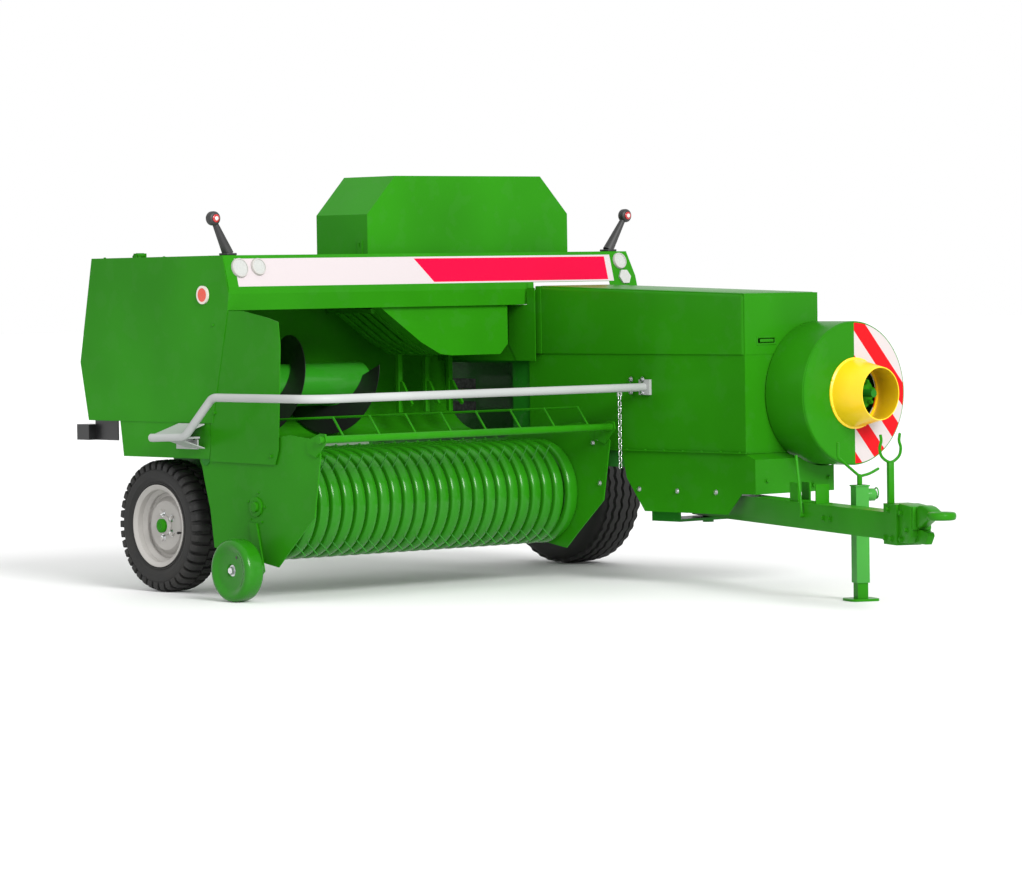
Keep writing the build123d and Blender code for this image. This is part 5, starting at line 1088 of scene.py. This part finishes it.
@dataclass
class HoodDress:
    """Latch, cover sheet, flange, bolts and guard tabs of the hood, its skirt and the divider's edge."""

    front_x: float = 1973.0
    side_y: float = 1627.0
    sheet: float = 0.003

    def latch(self) -> Piece:
        """Models the latch: a shallow dished plate with a turning grip."""
        plate = BENCH.slab("hood_latch", at(self.front_x, 1704, 1058), at(self.front_x + 3, 1822, 1096))
        BENCH.inset(plate, FRONT, (0.006, 0.001), (0.002, -0.003))
        grip = BENCH.slab("latch_grip", at(self.front_x, 1722, 1070), at(self.front_x + 6.5, 1804, 1084))
        BENCH.eased(grip, 0.003, 3)
        return BENCH.joined("hood_latch", [BENCH.eased(plate, 0.0008, 1), grip])

    def edge(self) -> Piece:
        """Models the divider's forward plate and the slanted cheek behind the hood's cover."""
        wall = BENCH.upright("divider_edge", 1594, (
            (470, 1060), (520, 986.5), (650, 986.5), (650, 1318), (596, 1318), (596, 1242), (470, 1242)), self.sheet)
        cheek = BENCH.upright("cover_cheek", 1622, ((567, 1019), (660, 1019), (660, 1325), (626, 1326)), self.sheet)
        return BENCH.joined("divider_edge", [wall, cheek])

    def skin(self) -> Piece:
        """Models the cover's outer sheet with its rolled corners, a little proud of the fixed panel below."""
        skin = BENCH.upright("hood_cover_sheet", self.side_y, (
            (623.5, 1019), (1974, 1019), (1974, 1285), (623.5, 1328)), 0.457)
        BENCH.pick(skin, looks(DOWN))
        bpy.ops.mesh.delete(type="FACE")
        BENCH.leave()
        BENCH.eased(skin, 0.020, 5)
        shell = skin.modifiers.new("shell", "SOLIDIFY")
        shell.thickness = self.sheet
        shell.offset = -1.0
        bpy.ops.object.modifier_apply(modifier=shell.name)
        return skin

    def beam_end(self) -> Piece:
        """Models the rounded left end of the beam's lower band."""
        outline = ((560, 1243), (575, 1243), (584, 1314), (582, 1343), (560, 1343))
        return BENCH.eased(BENCH.upright("beam_end", 1598, outline, 0.024), 0.004, 3)

    def flange(self) -> Piece:
        """Models the fixed panel's folded bottom edge."""
        side = BENCH.slab("hood_flange", at(600, 1622, 587.5), at(1979, 1640, 592.5))
        front = BENCH.slab("hood_front_flange", at(1960, 1622.5, 588), at(1979, 2084, 592))
        return BENCH.joined("hood_flange", [side, front])

    def tabs(self) -> Piece:
        """Models the two angle tabs between the hood's front and the guard."""
        tabs = []
        for y, z in ((1930, 1050), (2024, 1062)):
            tab = BENCH.slab("guard_tab", at(self.front_x, y, z), at(self.front_x + 6.5, y + 34, z + 26))
            tabs.append(BENCH.eased(tab, 0.0015))
        return BENCH.joined("guard_tabs", tabs)

    def build(self) -> None:
        """Builds the hood's small pieces."""
        BENCH.done(self.latch(), "green", "hood_lid")
        BENCH.done(self.edge())
        BENCH.done(self.skin(), "green", "hood_lid", 35.0)
        BENCH.done(self.flange())
        BENCH.done(self.beam_end(), "beam")
        BENCH.done(self.tabs())
        skirt = row(FRONT, 1.1, [(2030, 1984, 440)]) + row(FRONT, 0.9, [(2030, 1700, 470), (2030, 2080, 470)])
        FASTENERS.bolts("skirt_bolts", skirt, "green")
        bolts = row(RIGHT, 0.9, [(x, 1632, z) for x, z in ((1292, 418), (1537, 415), (1783, 416))])
        bolts += row(LEFT, 0.8, [(x, 2082, 1000) for x in (700, 900, 1100, 1450, 1650, 1930)])
        bolts += row(RIGHT, 1.0, [(x, 1618, z) for x in (1260, 1335) for z in (850, 905)])
        FASTENERS.bolts("hood_bolts", bolts, "zinc")
        flange = [(x, self.side_y, 592) for x in range(620, 1960, 120)]
        FASTENERS.rivets("hood_flange_rivets", row(UP, 1.0, flange), "green")


@dataclass
class DriveDress:
    """The coupling's bolts, the slip clutch, the cone's rivets and the guard's bead."""

    y: float = 2063.0
    z: float = 842.0
    bead_reach: float = 0.3085
    bead_radius: float = 0.0035

    def round(self, x: float, reach: float, count: int, first: float) -> list[Point]:
        """Gives points round the shaft, in the layout's millimetres, from a first angle in degrees."""
        return [(x, self.y + reach * math.cos(turn), self.z + reach * math.sin(turn)) for turn in ring_of(count, first)]

    def bead(self) -> Piece:
        """Turns the bead that stiffens the guard's front rim."""
        wire = [(self.bead_reach + self.bead_radius * math.sin(turn), self.bead_radius * math.cos(turn))
                for turn in ring_of(8)]
        return BENCH.turned("guard_bead", at(2209, self.y, self.z), wire, 96, FRONT)

    def clutch(self) -> Piece:
        """Models the slip clutch behind the shaft's end: pressure plates held by sprung bolts."""
        parts = [BENCH.drum("clutch_plate", at(x, self.y, self.z), 0.066, 0.009, 48, FRONT) for x in (2212, 2256)]
        BENCH.eased(parts[0], 0.002, 2)
        for spot in self.round(2248, 54, 6, 15):
            x, y, z = at(*spot)
            parts.append(BENCH.drum("clutch_bolt", (x, y, z), 0.0065, 0.070, 14, FRONT))
            for coil in range(6):
                ring = BENCH.drum("clutch_coil", (x - 0.004 + 0.006 * coil, y, z), 0.0105, 0.0036, 16, FRONT)
                parts.append(BENCH.eased(ring, 0.0012, 1))
        return BENCH.joined("slip_clutch", parts)

    def build(self) -> None:
        """Builds the drive's small pieces."""
        BENCH.done(self.bead(), "green", "machine")
        bolts = row(FRONT, 1.3, self.round(2129, 60, 6, 15))
        FASTENERS.bolts("coupling_bolts", bolts, "zinc", "input", "bare_steel")
        rivets = row(FRONT, 1.0, self.round(2217, 151, 8, 22.5))
        FASTENERS.rivets("cone_rivets", rivets, "yellow", "machine", "yellow_plastic")
        BENCH.done(self.clutch(), "green", "input", 40.0)


@dataclass
class LampDress:
    """Lenses of the marker and tail lamps and bezels round the beam's reflectors."""

    beam_slope: float = 36.0 / 138.0

    def lens(self, name: str, place: Point, facing: Point, radius: float) -> Piece:
        """Models one domed lens of a radius in metres, with the middle of its back at a place."""
        lens = BENCH.drum(name, (0.0, 0.0, 0.002), radius, 0.004, 32)
        BENCH.inset(lens, UP, *[(radius * wide, radius * high) for wide, high in ((0.18, 0.10), (0.30, 0.07),
                                                                                  (0.30, 0.02))])
        lens.data.transform(stood(place, facing))
        return lens

    def bezel(self, y: float, z: float, radius: float) -> Piece:
        """Turns the bezel round one reflector of a radius in metres on the beam's sloped face."""
        section = [(radius + 0.0004, 0.0), (radius + 0.0004, 0.0096), (radius - 0.002, 0.0104),
                   (radius - 0.002, 0.0112), (radius + 0.002, 0.0110), (radius + 0.0045, 0.006),
                   (radius + 0.0050, 0.0)]
        ring = BENCH.turned("reflector_bezel", ORIGIN, section, 40, UP)
        x = 546.0 + self.beam_slope * (1481.0 - z)
        ring.data.transform(stood(at(x, y, z), (1.0, 0.0, self.beam_slope)))
        return ring

    def build(self) -> None:
        """Builds the lamps' lenses and the bezels."""
        for side, y, z in (("right", -123, 1641), ("left", 2298, 1647)):
            for part, x, facing, radius, finish in (("front_rim", 519.5, FRONT, 0.0175, "red_lens"),
                                                    ("front_lens", 523, FRONT, 0.009, "clear_lens"),
                                                    ("rear_lens", 480.5, REAR, 0.0175, "red_lens")):
                lens = self.lens(f"{side}_marker_{part}", at(x, y, z), facing, radius)
                BENCH.done(lens, finish, "machine")
        for side, middle in (("right", -60), ("left", 1540)):
            for part, low, high, finish in (("tail", -36, 8, "red_lens"), ("turn", 9, 36, "amber_lens")):
                lens = BENCH.slab(f"{side}_{part}_lens", at(-566, middle + low, 669), at(-559.5, middle + high, 731))
                BENCH.done(BENCH.eased(lens, 0.003, 3), finish, "machine")
        rings = [self.bezel(*spot) for spot in ((-31, 1425, 0.039), (72, 1429, 0.034), (2205, 1436, 0.034))]
        BENCH.done(BENCH.joined("reflector_bezels", rings), "silver", "machine")


@dataclass
class ChamberDress:
    """Springs of the density screws, teeth of the knotter gear and bolts of the chamber's hoops."""

    top: float = 1016.0
    wire: float = 0.0042
    coil: float = 0.031
    coil_rise: float = 0.0165
    coils: int = 7
    teeth_count: int = 44

    def spring(self, y: float) -> Piece:
        """Winds one spring round the screw at a place across the chamber."""
        x, y, z = at(-760, y, self.top + 106)
        wire = [(x + self.coil + self.wire * math.cos(turn), y, z + self.wire * math.sin(turn)) for turn in ring_of(6)]
        spring = BENCH.line("density_spring", wire, closed=True)
        BENCH.leave()
        spring.data.transform(Matrix.Translation((-x, -y, -z)))
        BENCH.wound(spring, "Z", 2 * math.pi, self.coil_rise, self.coils, 24)
        BENCH.closed()
        spring.data.transform(Matrix.Translation((x, y, z)))
        return spring

    def teeth(self) -> Piece:
        """Cuts one gear tooth and copies it round the knotter gear."""
        tooth = BENCH.slab("gear_tooth", (-0.004, -0.012, 0.117), (0.004, 0.012, 0.127))
        BENCH.pick(tooth, looks(UP))
        bpy.ops.transform.resize(value=(0.55, 1.0, 1.0))
        BENCH.leave()
        BENCH.eased(tooth, 0.0008, 1)
        centre = Matrix.Translation(at(-165, 2152, 1176))
        places = [centre @ Matrix.Rotation(turn, 4, "Y") for turn in ring_of(self.teeth_count)]
        return BENCH.spread("knotter_gear_teeth", tooth, places)

    def build(self) -> None:
        """Builds the chamber's small pieces."""
        springs = BENCH.joined("density_springs", [self.spring(1676), self.spring(2076)])
        BENCH.done(springs, "zinc", "machine", 60.0)
        BENCH.done(self.teeth(), "steel", "machine")
        bolts = []
        for x in (-620, -320):
            for z in (650, 800, 950):
                bolts += row(RIGHT, 0.9, [(x, 1610, z)]) + row(LEFT, 0.9, [(x, 2142, z)])
            bolts += row(UP, 0.9, [(x, y, self.top) for y in (1680, 1876, 2072)])
        FASTENERS.bolts("chamber_bolts", bolts, "zinc")


@dataclass
class DrawbarDress:
    """Bolts of the drawbar's front bracket, of its jack clamp and tabs."""

    def build(self) -> None:
        """Builds the drawbar's bolts."""
        rows = []
        right = (math.sin(SWING), -math.cos(SWING), 0.0)
        left = (-math.sin(SWING), math.cos(SWING), 0.0)
        for side, facing in ((-1, right), (1, left)):
            for offset, size, spots in ((54, 1.2, ((2140, 300), (2200, 300), (2170, 415))),
                                        (44, 1.1, ((2275, 405), (2330, 340), (2275, 300)))):
                rows += [(along(reach, side * offset, z), facing, size) for reach, z in spots]
        rows += [(along(*spot), right, size) for spot, size in (
            ((1475, -50, 347), 1.1), ((1548, -50, 347), 1.1), ((1511, 71, 380), 1.0))]
        FASTENERS.bolts("drawbar_bolts", rows, "green", "drawbar_arm")


def smoothed(points: list[Point], steps: int = 5) -> list[Point]:
    """Rounds a run of points with a spline that passes through them."""
    run = [Vector(point) for point in points]
    run = [2 * run[0] - run[1]] + run + [2 * run[-1] - run[-2]]
    made = []
    for before, start, end, after in zip(run, run[1:], run[2:], run[3:]):
        for step in range(steps):
            t = step / steps
            bend = 2 * before - 5 * start + 4 * end - after
            twist = 3 * start - before - 3 * end + after
            made.append(tuple(0.5 * (2 * start + (end - before) * t + bend * t ** 2 + twist * t ** 3)))
    return made + [tuple(run[-2])]


@dataclass
class Hitch:
    """The hitch's bracket, neck and eye, the forks for the driveline and the hoses, and the jack's head."""

    front: float = 2370.0
    eye_reach: float = 2572.0
    eye_z: float = 405.0
    fork_reach: float = 2158.0
    fork_offset: float = -38.0
    jack_reach: float = 1511.0
    jack_offset: float = 100.0
    jack_top: float = 475.0
    wire: float = 0.006
    ring_wire: float = 0.0032

    def across(self, width: float) -> Point:
        """Gives a step to the drawbar's left, in metres for a width in millimetres."""
        return (-math.sin(SWING) * width / 1000, math.cos(SWING) * width / 1000, 0.0)

    def side(self, name: str, half: float, ease: float, *outline: tuple[float, float]) -> Piece:
        """Models a piece from its side view, in millimetres from the bracket's front and the eye's height."""
        points = [along(self.front + out, -half, self.eye_z + up) for out, up in outline]
        return BENCH.eased(BENCH.prism(name, points, self.across(2 * half)), ease, 3, 30)

    def eye(self) -> Piece:
        """Models bracket, neck, ring and the lower bracket."""
        cheek = self.side("hitch_bracket", 44, 0.003, (-120, 37), (0, 30), (0, -92), (-34, -119), (-120, -119))
        plate = self.side("hitch_plate", 40, 0.002, (-1, 30), (12, 30), (12, -62), (-1, -62))
        neck = self.side("hitch_neck", 26, 0.010, (11, 30), (36, 36), (70, 37), (104, 33), (134, 24), (160, 14),
                         (160, -14), (126, -17), (92, -27), (60, -40), (34, -52), (11, -58))
        ring = BENCH.turned("hitch_ring", ORIGIN, metres(
            (25, -12), (28, -15), (34, -16), (48, -16), (54, -14), (58, -8), (59, 0), (58, 8), (54, 14), (48, 16),
            (34, 16), (28, 15), (25, 12)), 48, UP)
        ring.data.transform(Matrix.Translation(along(self.eye_reach, 0.0, self.eye_z)))
        lower = self.side("lower_bracket", 15, 0.003, (-60, -66), (40, -62), (96, -70), (104, -84), (74, -119),
                          (-60, -119))
        return BENCH.joined("forged_hitch_eye", [cheek, plate, neck, ring, lower])

    def bent(self, name: str, reach: float, offset: float, steps: int, *points: tuple[float, float]) -> Piece:
        """Bends a wire across the drawbar.

        Args:
            name: The wire's name.
            reach: Its place along the drawbar, in millimetres.
            offset: Where its offsets count from, in millimetres.
            steps: Steps of the spline from point to point.
            points: Offset and height of its points, in millimetres.

        Returns:
            The wire.
        """
        return BENCH.rod(name, smoothed([along(reach, offset + out, z) for out, z in points], steps), self.wire)

    def forks(self) -> Piece:
        """Models the lyre for the driveline and the forked rest for the hoses."""
        fork, jack = (self.fork_reach, self.fork_offset), (self.jack_reach, self.jack_offset)
        post = BENCH.prism("fork_post", [along(self.fork_reach + out, self.fork_offset - 12, z) for out, z in (
            (-12, 438), (12, 438), (12, 604), (-12, 604))], self.across(24))
        BENCH.eased(post, 0.002)
        parts = [post, BENCH.rod("rest_stem", [along(*jack, z) for z in (self.jack_top + 8, 518)], 0.011, 16),
                 self.bent("lyre", *fork, 5, (-42, 716), (-39, 690), (-46, 660), (-36, 626), (0, 604), (36, 626),
                           (46, 660), (39, 690), (42, 716)),
                 self.bent("rest_arm", *jack, 4, (-96, 662), (-97, 630), (-96, 602), (-82, 588), (0, 519)),
                 self.bent("rest_hook", *jack, 3, (0, 519), (44, 529), (84, 548))]
        return BENCH.joined("driveline_and_hose_forks", parts)

    def jack_head(self) -> Piece:
        """Models the jack's head plate, its drum and the ring that turns it."""
        side = self.jack_offset + 29
        z = self.jack_top - 34
        axis = self.across(1000)
        plate = BENCH.prism("jack_plate", [along(self.jack_reach + out, self.jack_offset - 33, self.jack_top + up)
                                           for out, up in ((-33, 2), (33, 2), (33, 8), (-33, 8))], self.across(66))
        drum = BENCH.drum("jack_drum", along(self.jack_reach, side + 18, z), 0.026, 0.038, 32, axis)
        BENCH.eased(drum, 0.003, 3)
        collar = BENCH.drum("jack_collar", along(self.jack_reach, side + 38, z), 0.017, 0.012, 24, axis)
        wire = [(0.022 + self.ring_wire * math.cos(turn), self.ring_wire * math.sin(turn)) for turn in ring_of(8)]
        ring = BENCH.turned("jack_ring", ORIGIN, wire, 32, UP)
        ring.data.transform(stood(along(self.jack_reach, side + 46, z + 6), axis))
        for part in (plate, collar):
            BENCH.eased(part, 0.0015)
        return BENCH.joined("jack_head", [plate, drum, collar, ring])

    def build(self) -> None:
        """Builds the hitch, the forks and the jack's head."""
        BENCH.done(self.eye(), "green", "drawbar_arm", 40)
        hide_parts("hitch_eye")
        BENCH.done(self.forks(), "green", "drawbar_arm", 60)
        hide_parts("hose_forks")
        BENCH.done(self.jack_head(), "light_green", "drawbar_arm", 40)


@dataclass
class Auger:
    """The auger's hollow core with its one helical flight."""

    axis_x: float = 200.0
    axis_z: float = 900.0
    core: float = 0.095
    rim: float = 0.225
    start_y: float = -74.0
    end_y: float = 870.0
    pitch: float = 425.0
    top_y: float = 525.0
    core_y: tuple[float, float] = (-78.0, 920.0)
    parts: int = 3

    def flight(self) -> Piece:
        """Winds the flight with the screw modifier."""
        first = math.radians(360 * (self.start_y - self.top_y) / self.pitch)
        root = self.core - 0.003
        points = [(-reach * math.sin(first), lift, reach * math.cos(first))
                  for reach, lift in ((root, 0.0), (self.rim, 0.001), (self.rim, 0.004), (root, 0.005))]
        flight = BENCH.line("auger_flight", points, closed=True)
        BENCH.leave()
        length = self.end_y - self.start_y
        turns = length / self.pitch
        BENCH.wound(flight, "Y", -2 * math.pi * turns / self.parts, length / 1000 / self.parts, self.parts, 36)
        BENCH.closed(MERGE)
        bpy.ops.object.mode_set(mode="EDIT")
        bpy.ops.mesh.select_mode(type="EDGE")
        bpy.ops.mesh.select_all(action="DESELECT")
        bpy.ops.mesh.select_non_manifold()
        bpy.ops.mesh.fill_holes(sides=6)
        BENCH.closed()
        flight.data.transform(Matrix.Translation(at(self.axis_x, self.start_y, self.axis_z)))
        return flight

    def build(self) -> None:
        """Builds the auger in the solid's place."""
        start, end = self.core_y
        middle = at(self.axis_x, (start + end) / 2, self.axis_z)
        tube = BENCH.drum("auger_core", middle, self.core, (end - start) / 1000, 64, LEFT)
        BENCH.inset(tube, LEFT, (0.004, 0.0), (0.001, -0.006))
        auger = BENCH.joined("auger_with_flight", [tube, self.flight()])
        BENCH.done(auger, "auger", "auger_body", 40)
        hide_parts("auger")


@dataclass
class GaugeWheel:
    """The pressed steel gauge wheel: a shallow dished disc with a rolled shoulder."""

    centre: Point = at(765.0, -230.0, 135.0)

    def build(self) -> None:
        """Builds the wheel in the solid's place."""
        outline = metres(
            (15, -22), (26, -24), (29, -31), (46, -33), (80, -31), (93, -36), (104, -43), (114, -45), (124, -42.5),
            (131, -35), (134.5, -24), (135, -10), (134, 28), (131, 39), (126, 44.5), (121, 44), (126, 37), (129, 27),
            (130, -10), (129, -22), (125, -33), (114, -40), (104, -38), (93, -31), (80, -26), (46, -28), (31, -25),
            (31, 40), (15, 40))
        wheel = BENCH.turned("pressed_gauge_wheel", self.centre, outline, 72)
        BENCH.done(wheel, "band_green", "gauge", 60)
        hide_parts("gauge_wheel")
        # A thin black disc stands for the darkness in the wheel's hole: painted shade.
        hole = BENCH.drum("gauge_wheel_hole_painted_shade", at(804, -261.5, 192), 0.0065, 0.0012, 20, RIGHT)
        BENCH.done(hole, "black", "gauge")


@dataclass
class Reel:
    """The tine reel: shaft, spider discs, four bars and a coiled spring tine in every gap between the bands."""

    axis_x: float = 740.0
    axis_z: float = 400.0
    start_y: float = -89.0
    end_y: float = 1551.0
    bar_reach: float = 0.130
    tip_reach: float = 0.298
    bars: int = 4
    shaft_radius: float = 0.030
    disc_radius: float = 0.148
    bar_radius: float = 0.012
    wire: float = 0.0028
    first_turn: float = 45.0
    first_y: float = -8.25
    pitch: float = 67.5
    gaps: int = 22

    def tine(self) -> Piece:
        """Models one tine with its coil, its bar along Y through the origin's X reach."""
        root = self.bar_reach
        coil = BENCH.eased(BENCH.drum("tine_coil", (root, 0.0, 0.0), 0.0175, 0.013, 16, LEFT), 0.003, 1)
        bends = [(root + 0.010, 0.0, -0.010), (root + 0.060, 0.0, -0.012), (self.tip_reach, 0.0, 0.006)]
        return BENCH.joined("spring_tine", [coil, BENCH.rod("spring_tine", bends, self.wire, 8)])

    def build(self) -> None:
        """Builds the reel in the solid's place."""
        middle = (self.start_y + self.end_y) / 2
        length = (self.end_y - self.start_y) / 1000
        centre = Vector(at(self.axis_x, middle, self.axis_z))
        parts = [BENCH.drum("reel_shaft", tuple(centre), self.shaft_radius, length, 32, LEFT)]
        for y in (self.start_y + 23, middle, self.end_y - 23):
            disc = BENCH.drum("reel_spider", at(self.axis_x, y, self.axis_z), self.disc_radius, 0.006, 48, LEFT)
            parts.append(BENCH.eased(disc, 0.001, 1))
        places = []
        for turn in ring_of(self.bars, self.first_turn):
            spot = centre + Vector((self.bar_reach * math.cos(turn), 0.0, -self.bar_reach * math.sin(turn)))
            parts.append(BENCH.drum("tine_bar", tuple(spot), self.bar_radius, length - 0.02, 20, LEFT))
            for gap in range(self.gaps):
                root = at(self.axis_x, self.first_y + gap * self.pitch, self.axis_z)
                places.append(Matrix.Translation(root) @ Matrix.Rotation(turn, 4, "Y"))
        parts.append(BENCH.spread("spring_tines", self.tine(), places))
        reel = BENCH.joined("reel_with_spring_tines", parts)
        BENCH.done(reel, "light_green", "reel", 40)
        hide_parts("tine_reel")


@dataclass
class RailFoot:
    """The folded bracket that carries the rail's rear end on the side panel."""

    outer_y: float = -252.0
    inner_y: float = -113.5
    sheet: float = 5.0

    def leaf(self, x: float, outer_z: float, inner_z: float, length: float) -> Piece:
        """Models one leaf from its rear end and its outer and inner height in millimetres and its length in metres."""
        outline = ((self.outer_y, outer_z), (self.inner_y, inner_z), (self.inner_y, inner_z - self.sheet),
                   (self.outer_y, outer_z - self.sheet))
        return BENCH.eased(BENCH.prism("rail_foot", [at(x, y, z) for y, z in outline], (length, 0.0, 0.0)), 0.001, 1)

    def build(self) -> None:
        """Builds the bracket's two leaves."""
        leaves = [self.leaf(218, 708, 752, 0.185), self.leaf(290, 692, 648, 0.113)]
        BENCH.done(BENCH.joined("rail_foot_bracket", leaves), "rail", "machine")


@dataclass
class Chain:
    """The lifting chain's round links."""

    x: float = 0.21686
    y: float = 0.3415
    top_z: float = 0.8308
    step: float = 0.0274
    count: int = 12
    ring: float = 0.0081
    wire: float = 0.0029
    drawn: float = 0.0045

    def link(self) -> Piece:
        """Models one long link from a ring whose halves are drawn apart."""
        BENCH.rest()
        bpy.ops.mesh.primitive_torus_add(major_radius=self.ring, minor_radius=self.wire, major_segments=24,
                                         minor_segments=10, rotation=(math.pi / 2, 0.0, 0.0))
        link = BENCH.placed("chain_link")
        for sign in (1, -1):
            BENCH.pick(link, lambda centre, normal: centre.z * sign > 0.0)
            bpy.ops.transform.translate(value=(0.0, 0.0, sign * self.drawn))
        BENCH.leave()
        return link

    def build(self) -> None:
        """Builds the chain in the solid's place."""
        places = [Matrix.Translation((self.x, self.y, self.top_z - index * self.step))
                  @ Matrix.Rotation(math.radians(90 * (index % 2)), 4, "Z") for index in range(self.count)]
        chain = BENCH.spread("lifting_chain", self.link(), places)
        BENCH.done(chain, "chrome", "machine", 60)
        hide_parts("pickup_chain")


@dataclass
class Markers:
    """The marker lamps: a foot, a tapered rubber arm and a round head each."""

    base_x: float = 500.0
    top: float = 1481.0
    arm_radius: float = 0.013
    arm_flare: float = 1.9
    arm_middle: float = 0.43
    head_radius: float = 0.031
    head_depth: float = 0.040

    def lamp(self, y: float, lean: float, rise: float) -> Piece:
        """Models one lamp.

        Args:
            y: Its foot's place.
            lean: How far the head stands outwards.
            rise: How high the head stands.

        Returns:
            The lamp.
        """
        x, top = self.base_x, self.top
        foot = BENCH.eased(BENCH.slab("marker_foot", at(x - 30, y - 27, top), at(x + 30, y + 27, top + 10)), 0.003)
        step = Vector((0.0, lean / 1000, (rise - 10) / 1000))
        arm = BENCH.drum("marker_arm", ORIGIN, self.arm_radius, step.length - 0.02, 24)
        BENCH.pick(arm, looks(DOWN))
        bpy.ops.transform.resize(value=(self.arm_flare, self.arm_flare, 1.0))
        BENCH.leave()
        arm.data.transform(stood(tuple(Vector(at(x, y, top + 8)) + step * self.arm_middle), tuple(step)))
        head = BENCH.drum("marker_head", at(x, y + lean, top + rise), self.head_radius, self.head_depth, 40, FRONT)
        return BENCH.joined("marker_lamp", [foot, arm, BENCH.eased(head, 0.013, 5)])

    def build(self) -> None:
        """Builds both lamps in the solid's place."""
        both = BENCH.joined("rubber_marker_lamps", [self.lamp(-45, -78, 160), self.lamp(2190, 108, 166)])
        BENCH.done(both, "moulding", "machine", 50)
        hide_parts("marker_lamps")


@dataclass
class Liner:
    """The steel liner on the inside of the bale chamber's left wall, with a seam between its two sheets, near black as
    painted shade inside the chamber.
    """

    def build(self) -> None:
        """Builds the liner."""
        sheets = [BENCH.eased(BENCH.slab("liner", at(low, 2129, 600), at(high, 2132, 1008)), 0.001, 1)
                  for low, high in ((-560, -205), (-200, 560))]
        BENCH.done(BENCH.joined("chamber_liner", sheets), "liner", "machine")


@dataclass
class BodyDress:
    """Bolts and rivets of the body's panels, the rail's feet and the auger's bearing."""

    def build(self) -> None:
        """Builds the body's small pieces."""
        bolts = row(RIGHT, 0.8, [(470, -108, 1180), (470, -108, 800), (860, -108, 620)])
        bolts += row(DOWN, 0.9, [(x, -113, 690) for x in (230, 330)])
        bolts += row(REAR, 0.8, [(-452, y, 790) for y in (60, 400, 745, 1100, 1450)])
        bolts += row(LEFT, 0.8, [(x, 1600, z) for x in (-380, -220, -70) for z in (800, 1120, 1440)])
        FASTENERS.bolts("body_bolts", bolts, "green")
        roof = [(x, y, 1478) for x in (-380, -120, 60) for y in (-60, 240, 540, 760)]
        FASTENERS.rivets("roof_rivets", row(UP, 1.0, roof), "green")


# The darker inner green on the chamber, chassis, axle, gearbox and input shaft is painted shade.
FINISHES = {
    "knotters": "steel", "gearbox": "dark_green", "front_beam": "beam", "flywheel_guard": "guard",
    "shaft_cone": "yellow", "guard_rail": "rail", "marker_lamps": "moulding", "reflectors": "reflector",
    "tail_lamps": "black", "pickup_chain": "zinc", "input_shaft": "dark_green", "tine_reel": "light_green",
    "right_rim": "silver", "left_rim": "silver", "right_tyre": "tyre", "left_tyre": "tyre", "auger": "auger",
    "bale_chamber": "dark_green", "jack_tube": "light_green", "axle": "dark_green", "chassis_frame": "dark_green",
    "stripper_bands": "band_green",
}


def main() -> None:
    """Dresses the solids and sets up the studio."""
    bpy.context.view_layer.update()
    PALETTE.dress(frame["nodes"], FINISHES)
    for part in (
        Studio(), LuggedTyre(), RibbedTyre(), WheelDress("right", at(0.0, 0.0, 292.5), -1.0, "right_wheel"),
        WheelDress("left", at(0.0, 2400, 380), 1.0, "left_wheel"), Bands(), PickupDress(), HoodDress(), DriveDress(),
        LampDress(), ChamberDress(), DrawbarDress(), BodyDress(), Hitch(), Auger(), GaugeWheel(), Reel(), RailFoot(),
        Chain(), Markers(), Liner(),
    ):
        part.build()


if __name__ == "__main__":
    main()
